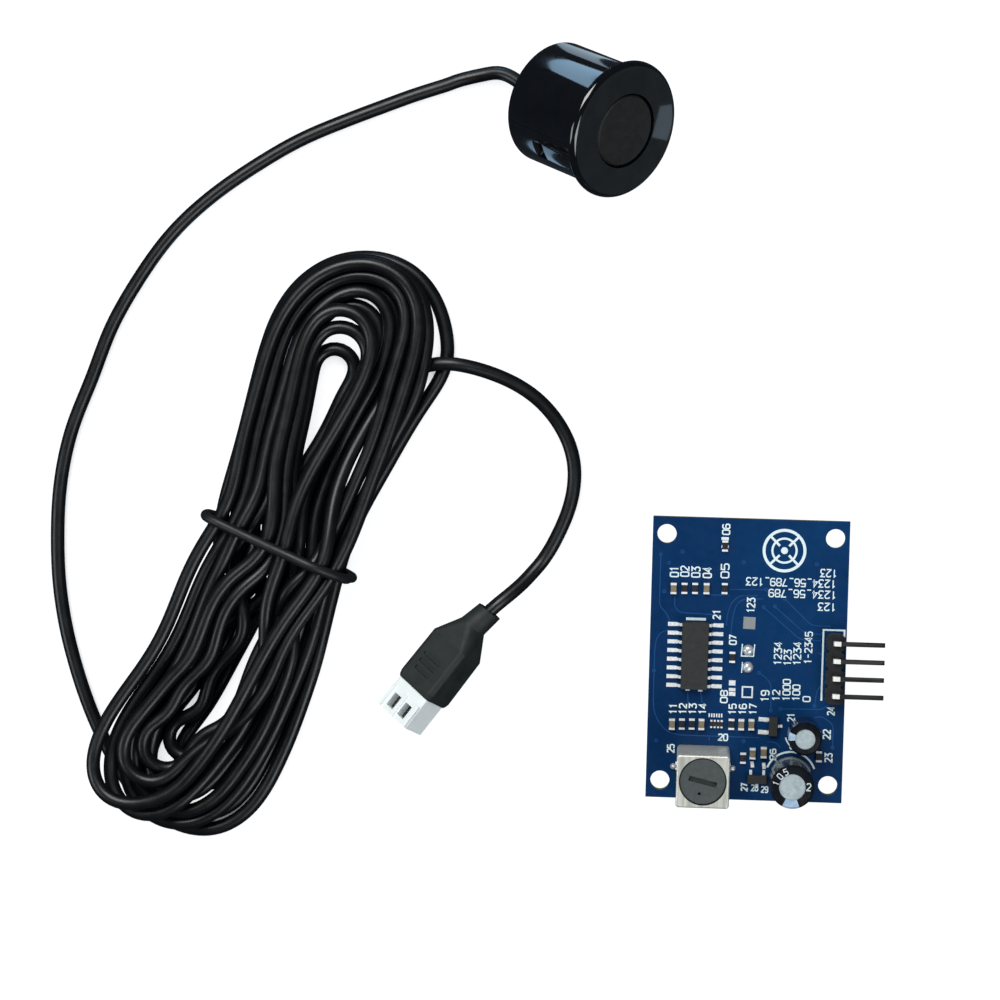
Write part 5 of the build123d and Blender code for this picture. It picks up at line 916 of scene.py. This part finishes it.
def rounded(points, radius, steps=6):
    """The polyline with its inner corners rounded."""
    out = [points[0]]
    for corner in zip(points[:-2], points[1:-1], points[2:]):
        before, middle, after = np.array(corner, float)
        back, ahead = before - middle, after - middle
        cut = min(radius, np.linalg.norm(back) * 0.45, np.linalg.norm(ahead) * 0.45)
        start, stop = middle + unit(back) * cut, middle + unit(ahead) * cut
        for i in range(steps + 1):
            t = i / steps
            out.append(tuple((1 - t) ** 2 * start + 2 * t * (1 - t) * middle + t * t * stop))
    out.append(points[-1])
    return out


# ================================================================ white print
PRINT_MAT = plain("board_print", colour=(222, 238, 240), rough=0.55, vary=0.05, scale=2500,
                  bump=0.000006, bump_scale=6000)
TRACK_MAT = plain("masked_copper", colour=(7, 66, 122), rough=0.34, vary=0.14, scale=600,
                  spec=0.45)
CHIP_X, CHIP_Y = -7.65, 0.45
TARGET = (4.86, 16.06)
BIG_X, BIG_Y = (BIG_CAN[0] - BOARD_X) / MM, (BIG_CAN[1] - BOARD_Y) / MM
SMALL_X, SMALL_Y = (SMALL_CAN[0] - BOARD_X) / MM, (SMALL_CAN[1] - BOARD_Y) / MM

# Groups of printed figures: turn in degrees and stroke width, then rows of
# text, x, y, height and length
UPPER_FIGURES = [
    (90, 0.19, [
        ("01", -10.96, 12.52, 1.15, 1.65), ("02", -9.46, 12.62, 1.15, 1.65),
        ("03", -7.86, 12.55, 1.15, 1.65), ("04", -6.2, 12.52, 1.15, 1.65),
        ("05", -3.64, 12.86, 1.1, 2.3), ("06", -3.65, 18.9, 1.0, 1.7)]),
]
OTHER_FIGURES = [
    (90, 0.19, [
        ("1", -4.65, 6.85, 1.0, 0.9), ("2", -4.65, 6.1, 1.0, 0.7),
        ("123", 0.27, 7.96, 1.05, 2.25), ("07", -2.2, 2.85, 0.95, 1.5),
        ("08", -3.25, -5.47, 0.95, 2.0), ("11", -10.54, -7.49, 1.0, 1.7),
        ("12", -9.15, -7.45, 1.0, 1.7), ("13", -7.73, -7.42, 1.0, 1.7),
        ("14", -6.29, -7.38, 1.0, 1.7), ("15", -1.95, -7.27, 1.0, 1.7),
        ("16", -0.47, -7.23, 1.0, 1.7), ("17", 1.03, -7.19, 1.0, 1.7),
        ("19", 2.71, -5.2, 1.1, 1.8)]),
    (0, 0.19, [("20", -3.21, -11.42, 0.9, 1.5)]),
    (90, 0.19, [
        ("21", 6.58, -8.19, 0.95, 1.3), ("22", 11.81, -10.5, 1.0, 1.5),
        ("23", 12.17, -13.91, 1.0, 1.4), ("24", 12.31, -7.08, 0.95, 1.3),
        ("25", -10.75, -13.3, 0.95, 1.3), ("26", 4.1, -13.7, 0.8, 1.8),
        ("27", 0.1, -18.61, 0.85, 1.2)]),
    (0, 0.16, [("28", 1.6, -18.67, 0.85, 1.05), ("29", 3.05, -18.86, 0.85, 1.05)]),
    (90, 0.17, [
        ("1234", 4.38, 1.05, 1.0, 3.5), ("123", 5.8, 0.51, 1.0, 2.4),
        ("1234", 7.18, 1.13, 1.0, 3.5), ("1-2345", 8.76, 2.04, 1.0, 4.8),
        ("12", 4.31, -5.06, 1.0, 1.75), ("1000", 5.79, -4.22, 1.0, 3.3),
        ("100", 7.2, -4.58, 1.0, 2.5), ("0", 8.72, -5.44, 1.0, 0.95)]),
    (180, 0.17, [
        ("123", 11.35, 12.98, 1.05, 2.5), ("1234_56_789_123", 5.95, 11.45, 1.05, 13.1),
        ("1234_56_789", 7.65, 9.85, 1.05, 9.9), ("123", 11.25, 8.08, 1.05, 2.7)]),
]


def print_figures(art, groups):
    for turn, weight, rows in groups:
        for row in rows:
            art.figures(*row, turn, weight)


silk = Art()
print_figures(silk, UPPER_FIGURES)
silk.rect(-3.77, 17.55, 1.05, 0.42)
silk.rect(-3.73, 16.4, 1.05, 0.42)
print_figures(silk, OTHER_FIGURES)
# round target with a crossed centre
silk.arc(*TARGET, 2.95, 0, 360, 0.42, steps=64)
silk.arc(*TARGET, 1.75, 0, 360, 0.3, steps=48)
silk.disc(*TARGET, 0.5)
for quarter in range(4):
    bearing = [45 + 90 * quarter]
    silk.stroke(circle(*TARGET, 0.95, bearing) + circle(*TARGET, 2.85, bearing), 0.34,
                bottom=-0.016, top=0.038)
# header outline
silk.stroke([(10.86, -5.6), (10.86, 4.72), (13.9, 4.72), (13.9, 3.75)], 0.25)
# bar and two short marks at the ends of the chip
silk.rect(CHIP_X, 5.72, 2.9, 0.38)
silk.rect(-8.56, -4.66, 0.62, 0.24)
silk.rect(-6.72, -4.72, 0.62, 0.24)
# lines round the socket pins
silk.stroke([(-0.8, 2.3), (-0.92, 0.55), (0.85, 0.55), (0.98, 2.3)], 0.16)
silk.stroke([(-0.72, -0.35), (-0.8, -1.9)], 0.14)
# arcs round the two cans, and a dot
silk.arc(BIG_X, BIG_Y, 3.62, 20, 160, 0.28)
silk.arc(SMALL_X, SMALL_Y, 2.72, 195, 330, 0.2)
silk.disc(6.75, -12.6, 0.3)
silk.make("board_print", PRINT_MAT)

# ================================================================ bare metal
grey = Art()
grey.rect(0.11, 5.38, 1.75, 1.75, turn=-1.5)
grey.make("test_square", plain("test_square", colour=(146, 150, 150), rough=0.5, vary=0.08,
                               scale=2400, metal=0.3))

CHIP_LEADS, CHIP_PITCH, CHIP_PAD_OUT = 8, 1.27, 3.3  # leads a side, pitch, pads off centre
pads = Art()
pads.stroke([(-0.6, -5.45), (0.82, -5.45), (0.82, -3.95), (-0.6, -3.95)], 0.22, closed=True)
# x, y, width, height and turn of the pads between the chip and the header
for pad in ((-2.12, -3.43, 0.95, 0.75), (-2.1, -4.4, 0.95, 0.45), (-2.08, -5.03, 0.95, 0.6),
            (2.62, -8.62, 1.5, 0.62, -3), (2.6, -10.48, 1.5, 0.62, -3)):
    pads.rect(*pad)
for k in range(CHIP_LEADS):
    for direction in (-1, 1):
        pads.rect(CHIP_X + direction * CHIP_PAD_OUT,
                  CHIP_Y + CHIP_PITCH * ((CHIP_LEADS - 1) / 2 - k), 1.45, 0.58)
for k in range(6):
    pads.rect(-5.3 + 0.36 * k, -8.25, 0.2, 0.55)
for x, y in ((1.15, -15.25), (2.85, -15.4)):
    pads.rect(x, y, 0.5, 0.9, turn=8)
pads.make("bare_pads", MATS["tinned"], "tinned")

# ================================================================ tracks under the mask
TRACK_WIDTH, TRACK_TOP, TRACK_BEND = 0.16, 0.016, 0.8
RING_RADIUS, RING_WIDTH, RING_TOP = 0.2, 0.16, 0.02
# Corners of each track
TRACKS = [
    [(-11.71, 3.98), (-12.86, 3.51), (-13.35, 2.41), (-13.5, 1.01), (-13.5, -6.26),
     (-13.35, -7.96), (-12.6, -9.6), (-11.3, -10.9), (-9.57, -11.3), (2.06, -11.3)],
    [(-8.53, -4.96), (-8.43, -6.56)],
    [(-6.64, -4.91), (-6.37, -6.51)],
    [(-2.52, 3.54), (-2.37, 5.97), (-1.99, 7.63), (-1.35, 8.55), (-0.39, 8.91), (2.0, 8.95)],
    [(-3.2, 4.9), (-3.1, 6.83), (-2.45, 8.4), (-1.5, 9.3), (1.2, 9.42)],
    [(-5.74, 9.3), (-2.9, 9.3)],
    [(-2.87, 10.18), (2.39, 10.32)],
    [(5.12, 9.05), (9.11, 5.28), (11.9, 5.28)],
    [(2.1, 7.75), (7.53, 3.17), (10.5, 3.1)],
    [(3.72, 7.9), (8.2, 4.1), (10.6, 4.05)],
    [(1.72, -1.84), (2.73, -2.48), (3.5, -3.44), (3.55, -5.07), (3.6, -7.3)],
    [(-13.0, 15.0), (-13.0, 7.5), (-11.9, 6.4), (-11.4, 5.2)],
    [(-10.8, 9.0), (-10.8, 7.4), (-10.0, 6.6), (-4.2, 6.4)],
    [(10.2, 1.4), (11.4, 0.6)],
    [(9.9, -6.4), (10.2, -4.0), (11.6, -2.6)],
    [(5.0, -7.0), (9.4, -6.9), (11.0, -6.9), (11.9, -6.2)],
    [(-5.2, -12.0), (-5.2, -11.3)],
    [(5.2, -12.7), (4.5, -11.9), (3.2, -11.9)],
    [(9.9, -8.1), (11.0, -7.9), (12.7, -9.0), (12.7, -12.4)],
]
# Centres of the small rings
RINGS = [
    (-13.5, -2.0), (-12.4, 9.6), (-11.8, 13.8), (-1.0, 14.2), (2.1, 7.75), (3.72, 7.9),
    (5.12, 9.05), (-5.7, 1.6), (3.6, -7.3), (1.72, -1.84), (9.9, -6.4), (5.0, -7.0),
    (-12.9, -12.2), (12.7, -12.4), (8.9, -12.9), (-0.2, -11.9), (2.39, 10.32), (-9.9, 15.5),
    (9.6, 14.2), (-13.0, 15.0),
]
tracks = Art()
for corners in TRACKS:
    tracks.stroke(rounded(corners, TRACK_BEND), TRACK_WIDTH, top=TRACK_TOP)
for x, y in RINGS:
    tracks.arc(x, y, RING_RADIUS, 0, 360, RING_WIDTH, top=RING_TOP, steps=18)
tracks.make("masked_tracks", TRACK_MAT, "solder_mask")

# ================================================================ joints over the socket pins
DOME_SPOTS = [(0.06, 1.42), (0.06, -1.08)]
DOME_RADIUS, DOME_HEIGHT, DOME_SINK = 0.78, 0.62, 0.02
DOME_RINGS, DOME_SIDES = 7, 24


def solder_domes():
    art = Art()
    for x, y in DOME_SPOTS:
        base = len(art.verts)
        for i in range(DOME_RINGS):
            rise = i / DOME_RINGS * math.pi / 2
            art.lay(circle(x, y, DOME_RADIUS * math.cos(rise) ** 0.8,
                           [360 * k / DOME_SIDES for k in range(DOME_SIDES)]),
                    -DOME_SINK + (DOME_HEIGHT + DOME_SINK) * math.sin(rise))
        art.lay([(x, y)], DOME_HEIGHT)
        art.faces.append(tuple(base + k for k in range(DOME_SIDES))[::-1])
        top_ring = base + (DOME_RINGS - 1) * DOME_SIDES
        for ring in range(base, top_ring, DOME_SIDES):
            art.faces += band(ring, ring + DOME_SIDES, DOME_SIDES)
        for k in range(DOME_SIDES):
            art.faces.append((top_ring + k, top_ring + (k + 1) % DOME_SIDES,
                              top_ring + DOME_SIDES))
    obj = new_object("socket_solder_domes", art.verts, art.faces, MATS["solder"], sharp=60)
    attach(obj, "control_board")


solder_domes()

# ================================================================ figures on the big can's rim
# Figure, x and y from the can's axis, height, length, turn in degrees and stroke width
RIM_FIGURES = [
    ("2", 2.32, 0.1, 1.0, 0.75, 0, 0.15), ("5", -1.0, 2.15, 0.85, 0.65, 25, 0.13),
    ("0", -1.8, 1.5, 0.85, 0.65, 50, 0.13), ("1", -2.35, 0.5, 0.8, 0.65, 70, 0.13),
]
rim_height = (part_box("big_capacitor_sleeve")[1].z - BOARD_TOP) / MM
rim = Art()
for text, x, y, *form in RIM_FIGURES:
    rim.figures(text, BIG_X + x, BIG_Y + y, *form, bottom=rim_height - 0.1,
                top=rim_height + 0.02)
rim.make("capacitor_print", plain("sleeve_print", colour=(205, 218, 222), rough=0.4,
                                  vary=0.06, scale=1800))

# ================================================================ floor, light and camera
PAPER = (0.97, 0.975, 0.985, 1)


def emission(name, colour, strength):
    material = bpy.data.materials.new(name)
    tree = fresh_tree(material)
    out = add_node(tree, "ShaderNodeOutputMaterial")
    glow = add_node(tree, "ShaderNodeEmission", {"Color": colour, "Strength": strength})
    tree.links.new(glow.outputs[0], out.inputs[0])
    return material


def floor_material():
    """Pale paper: bright to the lens, with painted shade in narrow gaps, a softer grey to everything else."""
    material = bpy.data.materials.new("pale_floor")
    tree = fresh_tree(material)
    link = tree.links.new
    out = add_node(tree, "ShaderNodeOutputMaterial")
    path = add_node(tree, "ShaderNodeLightPath")
    lit = add_node(tree, "ShaderNodeBsdfDiffuse", {"Color": (0.20, 0.20, 0.205, 1)})
    glow = add_node(tree, "ShaderNodeEmission", {"Color": PAPER})
    # painted contact shade: the glow fades where something touches the floor and in narrow gaps
    painted_contact_shade = add_node(tree, "ShaderNodeAmbientOcclusion", {"Distance": 0.0028})
    painted_contact_shade.samples = 6
    contact_shade_gate = add_node(tree, "ShaderNodeMapRange", {"From Min": 0.2, "From Max": 0.5,
                                                 "To Min": 0.01, "To Max": 0.95})
    link(painted_contact_shade.outputs["AO"], contact_shade_gate.inputs[0])
    link(contact_shade_gate.outputs[0], glow.inputs["Strength"])
    seen = add_node(tree, "ShaderNodeAddShader")
    link(lit.outputs[0], seen.inputs[0])
    link(glow.outputs[0], seen.inputs[1])
    grey = add_node(tree, "ShaderNodeBsdfDiffuse", {"Color": (0.5, 0.5, 0.5, 1)})
    link(mix_shaders(tree, path.outputs["Is Camera Ray"], grey.outputs[0], seen.outputs[0]),
         out.inputs[0])
    return material


def card(name, corners, mat):
    """One flat staging face."""
    mesh = bpy.data.meshes.new(name)
    mesh.from_pydata([tuple(v * MM for v in corner) for corner in corners], [],
                     [tuple(range(len(corners)))])
    mesh.materials.append(mat)
    obj = bpy.data.objects.new(name, mesh)
    bpy.context.scene.collection.objects.link(obj)
    return obj


FLOOR_HALF, FLOOR_Z = 3000, -0.3
floor = card("floor", [(x * FLOOR_HALF, y * FLOOR_HALF, FLOOR_Z)
                       for x, y in ((-1, -1), (1, -1), (1, 1), (-1, 1))], floor_material())
floor.visible_glossy = False


def studio_world():
    """Bright to the lens, cool and dim to the surfaces, dimmer still in reflections."""
    world = bpy.data.worlds.new("studio")
    bpy.context.scene.world = world
    tree = fresh_tree(world)
    out = add_node(tree, "ShaderNodeOutputWorld")
    path = add_node(tree, "ShaderNodeLightPath")

    def background(colour, strength):
        return add_node(tree, "ShaderNodeBackground",
                        {"Color": colour, "Strength": strength}).outputs[0]

    seen = background(colour=PAPER, strength=1.0)
    diffuse = background(colour=(0.86, 0.93, 1.0, 1), strength=0.22)
    glossy = background(colour=(0.55, 0.68, 0.85, 1), strength=0.05)
    unseen = mix_shaders(tree, path.outputs["Is Glossy Ray"], diffuse, glossy)
    tree.links.new(mix_shaders(tree, path.outputs["Is Camera Ray"], unseen, seen),
                   out.inputs[0])


studio_world()


def softbox(name, place, size, power, colour):
    """A square light aimed at the origin; place and size in metres, power in watts."""
    light = bpy.data.lights.new(name, "AREA")
    light.energy = power
    light.color = colour
    light.shape = "RECTANGLE"
    light.size = light.size_y = size
    obj = bpy.data.objects.new(name, light)
    obj.location = place
    obj.rotation_euler = (-Vector(place)).to_track_quat("-Z", "Y").to_euler()
    bpy.context.scene.collection.objects.link(obj)


softbox("key_softbox", place=(-0.15, 0.42, 0.62), size=0.42, power=4.4,
        colour=(1.0, 0.995, 0.98))
softbox("fill_softbox", place=(0.34, -0.36, 0.55), size=0.36, power=1.8,
        colour=(0.93, 0.97, 1.0))
softbox("side_softbox", place=(-0.55, -0.12, 0.34), size=0.3, power=1.0,
        colour=(0.9, 0.96, 1.0))


def reflector(name, corners, colour, strength):
    """A lit card that only shows as a reflection in glossy surfaces."""
    obj = card(name, corners, emission(name, colour, strength))
    obj.visible_camera = False
    obj.visible_diffuse = False
    obj.visible_transmission = False
    obj.visible_shadow = False


BLUE_GREY = (0.45, 0.72, 1.0, 1)
reflector("upper_window", colour=BLUE_GREY, strength=3.4, corners=[
    (-21.4, 104.1, 9.8), (0.3, 108.4, -10.5), (10.5, 104.6, -6.0), (-15.0, 95.6, 21.5)])
reflector("lower_window", colour=BLUE_GREY, strength=1.4, corners=[
    (-36.6, 16.7, -10.6), (-32.1, 14.5, -6.1), (-7.3, 16.1, -33.5), (-16.5, 15.8, -33.0)])
reflector("flange_window", colour=(0.62, 0.8, 1.0, 1), strength=0.8, corners=[
    (40.2, 45.3, 11.7), (41.9, 45.7, 10.0), (42.2, 43.6, 8.7), (41.1, 40.5, 8.4),
    (39.0, 40.8, 10.9)])
reflector("edge_card", colour=(0.62, 0.82, 1.0, 1), strength=1.1, corners=[
    (5.8, 119.8, -36), (12.9, 117.7, -29.6), (24.2, 87.2, -57.4), (13.9, 99.7, -59.4)])

# Camera place and aim in metres, and the direction that is up in its view
EYE, AIM = Vector((0.0336065, 0.0266592, 0.53295)), Vector((0.0049555, -0.0077808, 0.0))
UP_HINT = Vector((-0.02618, 0.99966, 0.0))
lens = bpy.data.cameras.new("camera")
lens.lens = 130.346
lens.sensor_width = 36.0
lens.clip_start, lens.clip_end = 0.01, 20
camera = bpy.data.objects.new("camera", lens)
bpy.context.scene.collection.objects.link(camera)
back = (EYE - AIM).normalized()
right = UP_HINT.cross(back).normalized()
upright = back.cross(right)
camera.matrix_world = Matrix((*zip(right, upright, back, EYE), (0, 0, 0, 1)))
bpy.context.scene.camera = camera
bpy.context.scene.view_settings.view_transform = "Standard"
bpy.context.scene.view_settings.look = "None"
